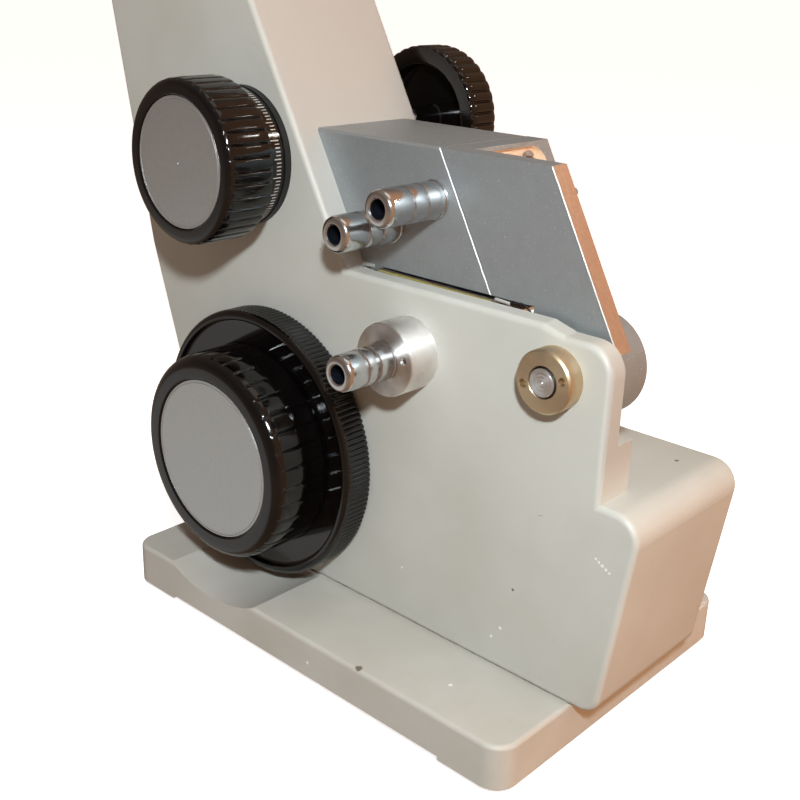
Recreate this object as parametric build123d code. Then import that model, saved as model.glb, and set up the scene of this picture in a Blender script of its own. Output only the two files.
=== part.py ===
from build123d import *
import os
from math import atan, cos, degrees, hypot, pi, radians, sin, sqrt

# Bench refractometer: a leaning column on a flat base, a pair of water-jacketed prism
# blocks on the column's front, and three knobs. Millimetres, +Z up, +X towards the
# prism end, -Y is the side with the two large knobs. The origin is the middle of the
# instrument's footprint box at bench level.

# ---------------------------------------------------------------- driving sizes
# clearances
fit_gap = 0.05          # radial gap of a shaft in its bearing
slip_gap = 0.1          # gap of a loose piece that seats in a recess
part_gap = 0.3          # gap between bodies that move past each other

# base
base_length = 142.0
base_width = 100.0
base_center_x = 15.5
foot_height = 2.5
foot_radius = 8.0
foot_inset = 12.0
foot_sink = 1.5
foot_taper = 0.8
base_thickness = 12.1
base_corner = 6.0
base_edge = 1.2
pad_length = 19.0
pad_relief = 1.0
scoop_gap = 4.0

# case
case_near_y = -24.0
case_far_y = 22.5
wall = 4.0
front_wall = 5.0
cover_thickness = 4.5
case_edge = 1.5
foot_back_x = -46.9
bend_back = (-75.8, 99.5)
back_lean = 0.222
lean = 0.5516           # dx/dz of the column's front face
front_at_cheek = (7.5, 107.1)
cheek_front_x = 89.1
cheek_thickness = 5.5
cheek_corner = 7.0
cheek_drop = 1.7
cheek_flat_x = 70.0
cheek_slope_x = 76.0
box_top_z = 68.8
box_front_x = 100.65
box_front_lean = 0.13
box_top_corner = 6.5
box_low_corner = 5.0
ledge_y = -12.4
ledge_height = 13.1
ledge_back_x = 40.0

# telescope line through the dispersion knob's axis
dispersion_axis = (-30.9, 131.3)
column_top = 67.0       # distance of the top face from the dispersion axis
tube_radius = 12.5
tube_wall = 1.5
tube_low = 31.0
tube_high = 97.0
collar_radius = 17.5
collar_height = 4.0
ring_low = tube_high - 11.0
ring_high = tube_high + 4.0
ring_radius = 14.8
eyecup_low = tube_high + 7.0
eyecup_high = tube_high + 19.1
eyecup_radius = 14.5
sleeve_low = tube_high - 15.0
sleeve_travel = 2.5

# compensator
housing_radius = 15.5
housing_bore = 14.0
housing_half = 23.0
housing_foot_width = 8.0
bevel_teeth_ring = 28
bevel_teeth_pinion = 12
bevel_cone = 11.5       # distance of the mesh from the telescope line
bevel_face = 4.0
cell_bore = 9.0

# dispersion knob
knob_small_radius = 21.4
knob_small_front = -46.6
knob_small_back = -32.2
scale_ring_radius = 18.3
scale_ring_back = -26.3
collar_ring_radius = 18.5
cap_small_radius = 17.0
cap_thickness = 1.2
cap_sink = 0.4          # cap face below the knob's front edge
knob_face = 4.5         # thickness of a knob's front web
shaft_radius = 3.0
hub_radius = 6.0
knob_wall = 2.5
flutes_small = 40
flutes_large = 36
flutes_ring = 36
flute_radius = 0.8

# adjusting knob
adjust_axis = (-18.7, 53.0)
knob_large_radius = 29.1
knob_large_front = -49.0
flange_radius = 38.5
flange_front = -34.0
flange_back = -24.7
flange_floor = 7.8
flange_rim = 2.2
cap_large_radius = 22.4

# scale drive
gear_module = 0.9
pinion_teeth = 12
sector_teeth = 96
gear_thickness = 3.0
gear_y = -12.5          # near face of the sector
sector_side = 22.0      # toothed arc, degrees each side of the mesh
sector_tail = 41.0
glass_radius = 34.0
glass_width = 9.0
glass_thickness = 1.5
glass_offset = 20.0     # middle of the glass scale, degrees from the mesh
mirror_shaft_radius = 2.5
mirror_half_width = 8.0
mirror_length = 13.0
mirror_thickness = 2.0

# prism blocks
block_near_y = -16.5
block_far_y = 17.8
block_top_z = 140.3
block_bottom_z = 107.9
block_front_v = 59.0
entry_back_v = 59.3
prism_half_width = 9.0
prism_face = (-54.0, -27.0)
prism_back = (-41.0, -27.0)
prism_back_v = 33.0
window_low = -38.5
window_high = -28.5
window_half = 8.0
entry_prism_face = (-54.0, -32.0)
entry_prism_depth = 8.6
near_wall = 5.3
slope_x, slope_z = 21.3, -38.7  # way down the near wall's front edge
plate_thickness = 5.5
knuckle_radius = 12.5
knuckle_inner_y = -6.0
hinge_axis = (74.7, 95.6)
pin_radius = 3.3
pin_head_radius = 6.0
nut_radius = 7.5
nut_front = -28.9
pin_front = -29.1
housing_top_z = 131.0
housing_bottom_z = 110.5
prism_box_front = 72.5  # v of the housing's front
prism_box_far_y = 10.3
prism_box_wall = 1.8
shade_y = (-8.5, 7.4)
shade_thickness = 1.0
pocket_depth = 1.5
pocket_corner = 4.0
pocket_y = (-10.0, 14.5)
pocket_rim = 1.0        # left above the pocket
pocket_screw_y = (-4.0, 9.0)
pocket_screw_z = 136.2

# lock
lock_z = 139.3
lock_depth = 3.7        # lock shaft below the column's front face
lock_shaft_radius = 2.9
lock_bearing = 3.3
eccentric_offset = 1.4
eccentric_radius = 1.4
eccentric_gap = 0.1
lever_y = (10.9, 14.3)
lever_pivot = (-30.0, 26.0)     # u and v
lever_pin_radius = 1.5
lever_boss = 3.4
lever_bar = 2.6
lever_end_room = 3.5
lever_low_u = -35.0
lever_cross_u = -13.5
wall_skin = 0.6
nose_low = -35.8
nose_high = -33.5
barb_high = -32.0
nose_end_v = 66.2
strike_slot = (-38.0, -30.9)
wheel_radius = 20.2
wheel_near = 27.5
wheel_far = 38.0
wheel_bore = 15.0
wheel_floor = 33.0
wheel_hub = 3.4

# hose nozzles
nozzle_radius = 4.6
nozzle_bore = 2.4
nozzle_length = 20.0
nozzle_thread_radius = 3.0
nozzle_thread = 4.5
nozzle_a = (30.5, 127.8)
nozzle_b = (16.2, 119.4)
nozzle_d = (27.0, 115.0)
nozzle_c_length = 15.8
channel_width = 4.0
boss_axis = (31.2, 90.8)
boss_radius = 9.25
boss_front = -33.6
boss_stud_radius = 5.0
boss_nut_radius = 8.0
boss_nut_height = 1.7

# reflector flap under the refracting block
flap_hinge = (11.5, 106.0)
flap_frame = 1.2
flap_mirror = 1.1
flap_top_z = 107.1
flap_front_x = 50.5
flap_lip = 5.5
flap_lip_drop = 2.2
flap_y = (-16.4, 16.8)
flap_pin_radius = 0.9

# condenser for the scale
condenser_radius = 9.0
condenser_length = 11.0
condenser_bore = 5.5
condenser_seat = 2.5

# fasteners
cover_screw_radius = 1.5
cover_screw_reach = 7.0
cover_head_radius = 3.0
boss_post_radius = 4.5
base_screw_radius = 2.5
base_head_radius = 4.5
base_head_height = 4.0
base_head_sink = 6.0    # depth of the screw's seat above the plate's underside
pillar_radius = 6.0
pillar_height = 6.0
small_screw_radius = 1.5
small_head_radius = 2.8
small_head_height = 2.0
block_screw_reach = 6.0
screw_slot = 0.8

# ---------------------------------------------------------------- derived places
tilt = atan(lean)
up_x, up_z = -sin(tilt), cos(tilt)
out_x, out_z = cos(tilt), sin(tilt)
floor_z = foot_height
base_top = foot_height + base_thickness
shell_far_y = case_far_y - cover_thickness
pinion_radius = gear_module * pinion_teeth / 2
sector_radius = gear_module * sector_teeth / 2
bevel_ratio = bevel_teeth_pinion / bevel_teeth_ring
bevel_pitch = bevel_cone * bevel_ratio


def along(u, v):
    """Point of the XZ plane, u up the telescope line and v out towards the prisms."""
    x = dispersion_axis[0] + up_x * u + out_x * v
    z = dispersion_axis[1] + up_z * u + out_z * v
    return (x, z)


def tilted(x, z):
    """The u and v of a point of the XZ plane."""
    dx, dz = x - dispersion_axis[0], z - dispersion_axis[1]
    return (up_x * dx + up_z * dz, out_x * dx + out_z * dz)


def level(z, v):
    """The u at which a line of constant v reaches height z."""
    return (z - dispersion_axis[1] - out_z * v) / up_z


def side_plane(y):
    return Plane(origin=(0, y, 0), x_dir=(1, 0, 0), z_dir=(0, -1, 0))


def slab(shape, near_y, far_y):
    """Solid of an XZ outline between two Y places."""
    return extrude(side_plane(far_y) * shape, amount=far_y - near_y)


def outline(*points):
    return make_face(Polyline(*points, close=True))


def rounded(shape, point, radius):
    corner = shape.vertices().sort_by_distance((point[0], point[1], 0))[0]
    return fillet(corner, radius)


def rod_y(axis, radius, near_y, far_y):
    """Cylinder along Y about an (x, z) axis."""
    circle = Pos(axis[0], axis[1]) * Circle(radius)
    return slab(circle, near_y, far_y)


def ring_y(axis, radius, bore, near_y, far_y):
    circle = Pos(axis[0], axis[1]) * (Circle(radius) - Circle(bore))
    return slab(circle, near_y, far_y)


def tele_plane(u, v=0.0, y=0.0):
    x, z = along(u, v)
    return Plane(origin=(x, y, z), x_dir=(0, 1, 0), z_dir=(up_x, 0, up_z))


def out_plane(u, v, y=0.0):
    x, z = along(u, v)
    return Plane(origin=(x, y, z), x_dir=(0, 1, 0), z_dir=(out_x, 0, out_z))


def tube_u(radius, low, high, bore=0.0):
    shape = Circle(radius)
    if bore > 0:
        shape = shape - Circle(bore)
    return extrude(tele_plane(low) * shape, amount=high - low)


def rod_v(u, y, radius, back, front):
    """Cylinder square to the column's front face."""
    return extrude(out_plane(u, back, y) * Circle(radius), amount=front - back)


def band(u_low, u_high, v_back, v_front, near_y, far_y):
    """Box in the tilted frame."""
    low_side = [along(u_low, v_back), along(u_low, v_front)]
    high_side = [along(u_high, v_front), along(u_high, v_back)]
    return slab(outline(*low_side, *high_side), near_y, far_y)


def fluted(radius, count):
    """Round outline with evenly spaced hollows."""
    notches = PolarLocations(radius + flute_radius * 0.35, count) * Circle(flute_radius)
    return Circle(radius) - notches


def upright(place, z, radius, height):
    """Cylinder along Z that stands on height z at an (x, y) place."""
    stood = Cylinder(radius, height, align=(Align.CENTER, Align.CENTER, Align.MIN))
    return Pos(place[0], place[1], z) * stood


def export(part, name):
    export_step(part, "parts/" + name + ".step")


os.makedirs("parts", exist_ok=True)

# ---------------------------------------------------------------- column and box outline
front_v = tilted(*front_at_cheek)[1]


def back_x(z):
    """Back edge of the upper column at height z."""
    return bend_back[0] - back_lean * (z - bend_back[1])


def front_x(z):
    """Front face of the column at height z."""
    return front_at_cheek[0] - lean * (z - front_at_cheek[1])


top_front = along(column_top, front_v)
# the top face runs back, square to the telescope line, until it meets the back edge
top_x, top_z = along(column_top, 0)
run = (top_x - back_x(top_z)) / (out_x + back_lean * out_z)
top_back = along(column_top, -run)
box_front_low = box_front_x - box_front_lean * (box_top_z - base_top)
column_foot_x = front_x(box_top_z)

body_points = [
    (foot_back_x, base_top), bend_back, top_back, top_front, (column_foot_x, box_top_z),
    (box_front_x, box_top_z), (box_front_low, base_top),
]


def body_outline():
    shape = outline(*body_points)
    shape = rounded(shape, (box_front_x, box_top_z), box_top_corner)
    shape = rounded(shape, (box_front_low, base_top), box_low_corner)
    shape = rounded(shape, top_back, 3.0)
    return rounded(shape, top_front, 3.0)


def inner_point(before, here, after, inset_in, inset_out):
    """Corner of the inside wall: the two edges move in by their own wall thickness."""
    ax, az = here[0] - before[0], here[1] - before[1]
    bx, bz = after[0] - here[0], after[1] - here[1]
    la, lb = hypot(ax, az), hypot(bx, bz)
    ax, az, bx, bz = ax / la, az / la, bx / lb, bz / lb
    # the outline runs clockwise, so its inside is on the right of each edge
    px, pz = here[0] + az * inset_in, here[1] - ax * inset_in
    qx, qz = here[0] + bz * inset_out, here[1] - bx * inset_out
    cross = ax * bz - az * bx
    t = ((qx - px) * bz - (qz - pz) * bx) / cross
    return (px + ax * t, pz + az * t)


wall_of_edge = [wall, wall, wall, front_wall, wall, wall, wall]
cavity_points = []
for i, here in enumerate(body_points):
    before = body_points[i - 1]
    after = body_points[(i + 1) % len(body_points)]
    cavity_points.append(inner_point(before, here, after, wall_of_edge[i - 1], wall_of_edge[i]))

cheek_points = [
    (front_x(front_at_cheek[1]) - front_wall, front_at_cheek[1]), (cheek_flat_x, front_at_cheek[1]),
    (cheek_slope_x, front_at_cheek[1] - cheek_drop), (cheek_front_x, front_at_cheek[1] - cheek_drop),
    (cheek_front_x, box_top_z - wall), (column_foot_x - front_wall, box_top_z - wall),
]

# screw posts of the cover, just inside the walls
post_places = [
    (foot_back_x + 10, base_top + wall + 2.5), (20.0, base_top + wall + 2.5), (83.0, base_top + wall + 3.5),
    (88.0, box_top_z - wall - 3.5), (34.0, box_top_z - wall - 3.0),
    (bend_back[0] + 9.5, bend_back[1] + 1.0),
    along(column_top - wall - 4, -run + wall + 6), along(column_top - wall - 4, front_v - front_wall - 3.5),
]

# ---------------------------------------------------------------- base and feet
plate = Box(base_length, base_width, base_thickness, align=(Align.CENTER, Align.CENTER, Align.MIN))
plate = Pos(base_center_x, 0, floor_z) * plate
plate = fillet(plate.edges().filter_by(Axis.Z), base_corner)
plate = fillet(plate.faces().sort_by(Axis.Z)[-1].edges(), base_edge)
relief_length = base_length - 2 * pad_length
relief = Box(relief_length, base_width * 2, pad_relief, align=(Align.CENTER, Align.CENTER, Align.MIN))
plate -= Pos(base_center_x, 0, floor_z) * relief
scoop_radius = flange_radius + scoop_gap
plate -= rod_y(adjust_axis, scoop_radius, -base_width, case_near_y)

foot_places = []
for side_x in (-1, 1):
    for side_y in (-1, 1):
        x = base_center_x + side_x * (base_length / 2 - foot_inset)
        foot_places.append((x, side_y * (base_width / 2 - foot_inset)))
for place in foot_places:
    plate -= upright(place, floor_z, foot_radius + slip_gap, foot_sink)

feet = []
foot_tall = foot_height + foot_sink - slip_gap
for x, y in foot_places:
    foot = Cone(foot_radius - foot_taper, foot_radius, foot_tall)
    feet.append(Pos(x, y, foot_tall / 2) * foot)

base_screw_places = [(-24.0, -10.0), (-24.0, 8.0), (72.0, -10.0), (72.0, 8.0)]
base_head_z = floor_z + base_head_sink
base_screw_top = base_top + wall + pillar_height
for place in base_screw_places:
    plate -= upright(place, floor_z, base_head_radius + 0.5, base_head_sink)
    plate -= upright(place, floor_z, base_screw_radius + part_gap, base_thickness)
export(plate, "base_plate")
export(Compound(children=feet), "rubber_feet")

base_screws = []
shank_length = base_screw_top - 1.0 - base_head_z
for place in base_screw_places:
    head_low = base_head_z - base_head_height
    head = upright(place, head_low, base_head_radius, base_head_height)
    shank = upright(place, base_head_z, base_screw_radius, shank_length)
    socket = Pos(place[0], place[1], head_low) * extrude(RegularPolygon(2.3, 6), amount=2.2)
    base_screws.append(head + shank - socket)
export(Compound(children=base_screws), "base_screws")

# ---------------------------------------------------------------- case
lock_v = front_v - lock_depth
lock_u = level(lock_z, lock_v)
lock_axis = along(lock_u, lock_v)

# the mirror turns where the telescope line is one gear distance from the adjusting shaft
adjust_u, adjust_v = tilted(*adjust_axis)
centre_distance = pinion_radius + sector_radius
mirror_u = adjust_u + sqrt(centre_distance ** 2 - adjust_v ** 2)
mirror_axis = along(mirror_u, 0)

case = slab(body_outline(), case_near_y, shell_far_y)
near_edges = case.faces().sort_by(Axis.Y)[0].edges()
case = fillet(near_edges, case_edge)
cheek_shape = outline(*cheek_points)
cheek_shape = rounded(cheek_shape, cheek_points[3], cheek_corner)
cheek = slab(cheek_shape, case_near_y, case_near_y + cheek_thickness)
cheek_face = cheek.faces().sort_by(Axis.Y)[0]
cheek_rim = cheek_face.edges().filter_by_position(Axis.Z, box_top_z + 2, 200)
cheek_rim = [edge for edge in cheek_rim if edge.center().X > front_at_cheek[0] - 4]
cheek = fillet(cheek_rim, case_edge)
case += cheek
ledge = outline((ledge_back_x, box_top_z - 1), (ledge_back_x, box_top_z + ledge_height),
                (cheek_front_x, box_top_z + ledge_height), (cheek_front_x, box_top_z - 1))
case += slab(ledge, case_near_y + 1, ledge_y)
case -= slab(outline(*cavity_points), case_near_y + wall, case_far_y)
inside_y = case_near_y + wall


# the two posts beside the telescope tube are short
post_starts = [inside_y - 0.5] * 6 + [shell_far_y - 8.5] * 2
for place, start in zip(post_places, post_starts):
    case += rod_y(place, boss_post_radius, start, shell_far_y)
    case -= rod_y(place, cover_screw_radius, shell_far_y - cover_screw_reach - 0.5, shell_far_y + 1)
for place in base_screw_places:
    case += upright(place, base_top, pillar_radius, wall + pillar_height)
    case -= upright(place, base_top - 1, base_screw_radius, wall + pillar_height)

# bearings in the near wall
bush_radius = 5.0
bush_inner = -14.5
case -= rod_y(dispersion_axis, bush_radius, case_near_y - 1, inside_y + 1)
case -= rod_y(adjust_axis, bush_radius, case_near_y - 1, inside_y + 1)
case += rod_y(mirror_axis, 5.5, inside_y - 0.5, inside_y + 3)
case -= rod_y(mirror_axis, mirror_shaft_radius + fit_gap, inside_y - 0.3, inside_y + 4)
# hinge pin and hose boss through the cheek
case -= rod_y(hinge_axis, pin_radius, case_near_y - 1, ledge_y + 1)
case -= rod_y(boss_axis, boss_stud_radius, case_near_y - 1, ledge_y + 1)
# column top and the telescope tube
case -= tube_u(tube_radius, column_top - 12, column_top + 5)
# window and screws in the column's front wall
case -= band(window_low, window_high, front_v - front_wall - 1, front_v + 1, -window_half, window_half)
block_screw_places = [(-8.0, -13.0), (-33.0, -13.0), (-14.0, 7.2)]
for u, y in block_screw_places:
    case -= rod_v(u, y, small_screw_radius + slip_gap, front_v - front_wall - 1, front_v + 1)
    seat_v = front_v - front_wall + small_head_height
    case -= rod_v(u, y, small_head_radius + slip_gap, front_v - front_wall - 1, seat_v)
housing_screw_places = [-8.0, -19.0]
for u in housing_screw_places:
    case -= rod_v(u, 0, small_screw_radius + slip_gap, front_v - front_wall - 1, front_v + 1)
    case -= rod_v(u, 0, small_head_radius + slip_gap, front_v - small_head_height - slip_gap, front_v + 1)
# bearing of the lock shaft, thickened inside the front wall
body_solid = slab(body_outline(), inside_y, shell_far_y)
lever_room = (lever_y[0] - part_gap, lever_y[1] + part_gap)
case += rod_y(lock_axis, lock_shaft_radius + 1.3, lever_room[0] - lock_bearing, lever_room[0]) & body_solid
case += rod_y(lock_axis, lock_shaft_radius + 1.3, lever_room[1], shell_far_y) & body_solid
case -= rod_y(lock_axis, lock_shaft_radius + fit_gap, lever_room[0] - lock_bearing - 1, case_far_y)
# room for the lever in the wall, open to the prism block further down
lever_top_u = lock_u + lever_end_room
case -= band(lever_low_u, lever_top_u, front_v - front_wall - 5, front_v - wall_skin, *lever_room)
case -= band(lever_low_u, lever_cross_u, front_v - 1, front_v + 1, *lever_room)
export(case, "case_shell")

# ---------------------------------------------------------------- cover
cover = slab(body_outline(), shell_far_y, case_far_y)
cover = fillet(cover.faces().sort_by(Axis.Y)[-1].edges(), case_edge)
mesh_x = (adjust_axis[0] - mirror_axis[0]) / centre_distance
mesh_z = (adjust_axis[1] - mirror_axis[1]) / centre_distance


def around_mirror(radius, angle):
    """Point at a radius from the mirror shaft, angle in degrees from the mesh towards the back."""
    c, s = cos(radians(angle)), sin(radians(angle))
    dx = mesh_x * c + mesh_z * s
    dz = mesh_z * c - mesh_x * s
    return (mirror_axis[0] + radius * dx, mirror_axis[1] + radius * dz)


reading = around_mirror(glass_radius, glass_offset)
for place in post_places:
    cover -= rod_y(place, cover_screw_radius + 0.2, shell_far_y - 1, case_far_y + 1)
    cover -= rod_y(place, cover_head_radius + slip_gap, case_far_y - 2.0, case_far_y + 1)
cover += rod_y(mirror_axis, 5.5, shell_far_y - 3, shell_far_y + 1)
cover -= rod_y(mirror_axis, mirror_shaft_radius + fit_gap, shell_far_y - 4, shell_far_y + 3)
cover -= rod_y(lock_axis, lock_shaft_radius + fit_gap, shell_far_y - 1, case_far_y + 1)
cover -= rod_y(reading, condenser_radius - 2 + fit_gap, shell_far_y - 1, case_far_y + 1)
export(cover, "cover_plate")

cover_screws = []
for place in post_places:
    head = rod_y(place, cover_head_radius, case_far_y - 2.0, case_far_y - 0.2)
    shank = rod_y(place, cover_screw_radius, shell_far_y - cover_screw_reach, case_far_y - 2.0)
    slot = Pos(place[0], place[1]) * Rectangle(2 * cover_head_radius + 1, screw_slot)
    slot = slab(slot, case_far_y - 0.9, case_far_y)
    cover_screws.append(head + shank - slot)
export(Compound(children=cover_screws), "cover_screws")

# ---------------------------------------------------------------- telescope and eyepiece
tube_bore = tube_radius - tube_wall
telescope = tube_u(tube_radius, tube_low, tube_high, tube_bore)
telescope += tube_u(tube_bore + 0.5, tube_low + 4.6, tube_low + 6.0, tube_bore - 1.5)
telescope += tube_u(tube_bore + 0.5, column_top + 8.0, column_top + 9.5, tube_bore - 1.5)
export(telescope, "telescope_tube")
export(tube_u(collar_radius, column_top, column_top + collar_height, tube_radius), "column_collar")


def lens(radius, middle, edge, bulge):
    """Round glass with two bulged faces, middle at u."""
    half = edge / 2 + bulge
    ball = (radius ** 2 + bulge ** 2) / (2 * bulge)
    solid = Cylinder(radius, 2 * half)
    solid = solid & Pos(0, 0, half - ball) * Sphere(ball)
    solid = solid & Pos(0, 0, ball - half) * Sphere(ball)
    return tele_plane(middle) * solid


export(lens(tube_bore, tube_low + 2.5, 3.0, 0.8), "objective_lens")
export(tube_u(tube_bore, column_top + 9.5, column_top + 11.0), "reticle")

sleeve_radius = tube_bore - fit_gap
sleeve_bore = sleeve_radius - 1.5
sleeve = tube_u(sleeve_radius, sleeve_low, eyecup_low + 3.0, sleeve_bore)
sleeve += tube_u(eyecup_radius - 1.5, eyecup_low, eyecup_low + 3.0, sleeve_bore)
sleeve += tube_u(sleeve_bore + 0.5, sleeve_low + 8.0, sleeve_low + 9.0, sleeve_bore - 1.2)
export(sleeve, "eyepiece_sleeve")
cup = tube_u(eyecup_radius, eyecup_low, eyecup_high, eyecup_radius - 1.5)
cup -= tube_u(eyecup_radius - 1.5, eyecup_low - 1, eyecup_low + 3.0)
cup += tube_u(eyecup_radius - 1.0, eyecup_low + 3.0, eyecup_low + 5.0, 6.0)
cup += tube_u(eyecup_radius - 1.0, eyecup_high - 2.0, eyecup_high, 9.5)
export(cup, "eyecup")
eye_lens = lens(sleeve_bore, eyecup_low - 1.5, 2.5, 1.2)
field_lens = lens(sleeve_bore, sleeve_low + 5.0, 2.5, 1.2)
export(Compound(children=[eye_lens, field_lens]), "eyepiece_lenses")
ring_shape = fluted(ring_radius, flutes_ring) - Circle(tube_radius + fit_gap)
ring_shape = extrude(tele_plane(ring_low) * ring_shape, amount=ring_high - ring_low)
ring_shape += tube_u(tube_radius + 1.0, tube_high + part_gap, ring_high, sleeve_radius + part_gap)
export(ring_shape, "diopter_ring")

# ---------------------------------------------------------------- compensator
housing = tube_u(housing_radius, -housing_half, housing_half, housing_bore)
half_foot = housing_foot_width / 2
foot_block = band(-housing_half, 4.0, 0, front_v - front_wall, -half_foot, half_foot)
housing += foot_block - tube_u(housing_bore, -housing_half - 1, housing_half + 1)
housing -= band(-8.0, 8.0, -8.0, 8.0, -housing_radius - 1, -8.0)
for u in housing_screw_places:
    housing -= rod_v(u, 0, small_screw_radius, housing_bore, front_v - front_wall + 1)
housing -= tube_u(housing_bore, -housing_half - 1, housing_half + 1)
export(housing, "compensator_housing")

housing_screws = []
for u in housing_screw_places:
    head = rod_v(u, 0, small_head_radius, front_v - small_head_height, front_v - slip_gap)
    shank = rod_v(u, 0, small_screw_radius, housing_bore + 0.6, front_v - small_head_height)
    slot = extrude(out_plane(u, front_v - 0.8) * Rectangle(2 * small_head_radius + 1, screw_slot), amount=2)
    housing_screws.append(head + shank - slot)
for u, y in block_screw_places:
    head_low = front_v - front_wall
    head = rod_v(u, y, small_head_radius, head_low + slip_gap, head_low + small_head_height)
    shank = rod_v(u, y, small_screw_radius, head_low + small_head_height, front_v + block_screw_reach)
    slot = Rectangle(2 * small_head_radius + 1, screw_slot)
    slot = extrude(out_plane(u, head_low - 1, y) * slot, amount=1.9)
    housing_screws.append(head + shank - slot)
export(Compound(children=housing_screws), "column_screws")

bevel_in = bevel_cone - bevel_face / 2
bevel_out = bevel_cone + bevel_face / 2
tooth_tip = 0.6
tooth_root = 0.95
tooth_width = 0.8
space_width = 1.4


def ring_cell(side):
    """One compensator cell with its crown of bevel teeth, side is +1 or -1 along the line."""
    low, high = sorted((side * 8.0, side * (housing_half - 2.0)))
    body = tube_u(housing_bore - fit_gap, low, high, cell_bore + slip_gap)
    # conical tooth face: it rises from the pitch cone of the pinion
    profile = outline(
        (bevel_in - 0.3, side * (bevel_in * bevel_ratio - tooth_tip)),
        (housing_bore - fit_gap, side * ((housing_bore - fit_gap) * bevel_ratio - tooth_tip)),
        (housing_bore - fit_gap, side * 8.5), (bevel_in - 0.3, side * 8.5),
    )
    crown = tele_plane(0) * revolve(Plane.XZ * profile, Axis.Z)
    space = outline(
        (bevel_in - 1.0, side * ((bevel_in - 1.0) * bevel_ratio + tooth_root)),
        (housing_bore + 1, side * ((housing_bore + 1) * bevel_ratio + tooth_root)),
        (housing_bore + 1, 0), (bevel_in - 1.0, 0),
    )
    cutter = extrude(Plane.XZ * space, amount=space_width / 2, both=True)
    step = 360 / bevel_teeth_ring
    cutters = [Rot(0, 0, 180 + k * step) * cutter for k in range(bevel_teeth_ring)]
    crown -= [tele_plane(0) * c for c in cutters]
    return body + crown


def dispersing_prism(side):
    """Three cemented wedges taken as one block of glass, square across its cell."""
    low, high = sorted((side * 8.5, side * (housing_half - 3.0)))
    half = cell_bore * 0.7071
    return extrude(tele_plane(low) * Rectangle(2 * half, 2 * half), amount=high - low)


for side, name in ((-1, "lower"), (1, "upper")):
    export(ring_cell(side), "compensator_cell_" + name)
    export(dispersing_prism(side), "compensator_prism_" + name)

# ---------------------------------------------------------------- dispersion knob
knob = Pos(*dispersion_axis) * fluted(knob_small_radius, flutes_small)
knob = slab(knob, knob_small_front, knob_small_back)
cap_front = knob_small_front + cap_sink
cap_back = cap_front + cap_thickness
ring_bore = scale_ring_radius - knob_wall
knob -= rod_y(dispersion_axis, cap_small_radius + slip_gap, knob_small_front - 1, cap_back)
knob -= ring_y(dispersion_axis, ring_bore, hub_radius, knob_small_front + knob_face, knob_small_back + 1)
shaft_end = cap_back + 0.6
knob -= rod_y(dispersion_axis, shaft_radius, shaft_end, knob_small_back + 1)
export(knob, "dispersion_knob")
export(rod_y(dispersion_axis, cap_small_radius, cap_front, cap_back), "dispersion_cap")
scale_ring = ring_y(dispersion_axis, scale_ring_radius, ring_bore, knob_small_back, scale_ring_back)
web_back = knob_small_back + 1.6
scale_ring += ring_y(dispersion_axis, ring_bore + 0.5, shaft_radius, knob_small_back, web_back)
export(scale_ring, "dispersion_scale")
collar = ring_y(dispersion_axis, collar_ring_radius, bush_radius, scale_ring_back + part_gap, case_near_y)
export(collar, "dispersion_collar")


def bush(axis, front_y):
    return ring_y(axis, bush_radius, shaft_radius + fit_gap, front_y, bush_inner)


bushes = [bush(dispersion_axis, scale_ring_back + part_gap), bush(adjust_axis, case_near_y - 0.4)]
export(Compound(children=bushes), "shaft_bushes")
dispersion_shaft = rod_y(dispersion_axis, shaft_radius, shaft_end, -bevel_in)

# bevel pinion: cone blank with straight teeth, turned about the knob's axis
cone_blank = outline(
    (bevel_in, 0), (bevel_out, 0), (bevel_out, bevel_out * bevel_ratio - tooth_root + 0.2),
    (bevel_in, bevel_in * bevel_ratio - tooth_root + 0.2),
)
blank = revolve(Plane.XY * cone_blank, Axis.X)
tooth = outline(
    (bevel_in + 0.1, 1.5), (bevel_out - 0.1, 1.5),
    (bevel_out - 0.1, bevel_out * bevel_ratio + tooth_tip),
    (bevel_in + 0.1, bevel_in * bevel_ratio + tooth_tip),
)
tooth = extrude(Plane.XY * tooth, amount=tooth_width / 2, both=True)
pinion = blank + [Rot(k * 360 / bevel_teeth_pinion, 0, 0) * tooth for k in range(bevel_teeth_pinion)]
# its own X axis points from the telescope line to the knob, its Y axis up the line
pinion_frame = Plane(origin=(dispersion_axis[0], 0, dispersion_axis[1]), x_dir=(0, -1, 0),
                     z_dir=(out_x, 0, out_z))
export(dispersion_shaft + pinion_frame * pinion, "dispersion_shaft")

# ---------------------------------------------------------------- adjusting knob
knob_large_back = flange_back - flange_floor
knob = Pos(*adjust_axis) * fluted(knob_large_radius, flutes_large)
knob = slab(knob, knob_large_front, knob_large_back)
cap_front = knob_large_front + cap_sink
cap_back = cap_front + cap_thickness
knob_hollow = knob_large_radius - 2 * knob_wall
knob -= rod_y(adjust_axis, cap_large_radius + slip_gap, knob_large_front - 1, cap_back)
knob -= ring_y(adjust_axis, knob_hollow, hub_radius, knob_large_front + knob_face, knob_large_back + 1)
shaft_end = cap_back + 0.6
knob -= rod_y(adjust_axis, shaft_radius, shaft_end, knob_large_back + 1)
export(knob, "adjusting_knob")
export(rod_y(adjust_axis, cap_large_radius, cap_front, cap_back), "adjusting_cap")
dish = rod_y(adjust_axis, flange_radius, flange_front, flange_back)
dish -= rod_y(adjust_axis, flange_radius - flange_rim, flange_front - 1, knob_large_back)
dish -= rod_y(adjust_axis, shaft_radius, flange_front, flange_back + 1)
dish -= ring_y(adjust_axis, flange_radius - knob_wall - 1, hub_radius, knob_large_back + knob_wall, flange_back + 1)
dish = chamfer(dish.edges().filter_by(GeomType.CIRCLE).sort_by(Axis.Y)[0:1], 0.8)
export(dish, "adjusting_flange")
pinion_near = gear_y - 0.5
pinion_far = gear_y + gear_thickness + 0.5
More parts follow.
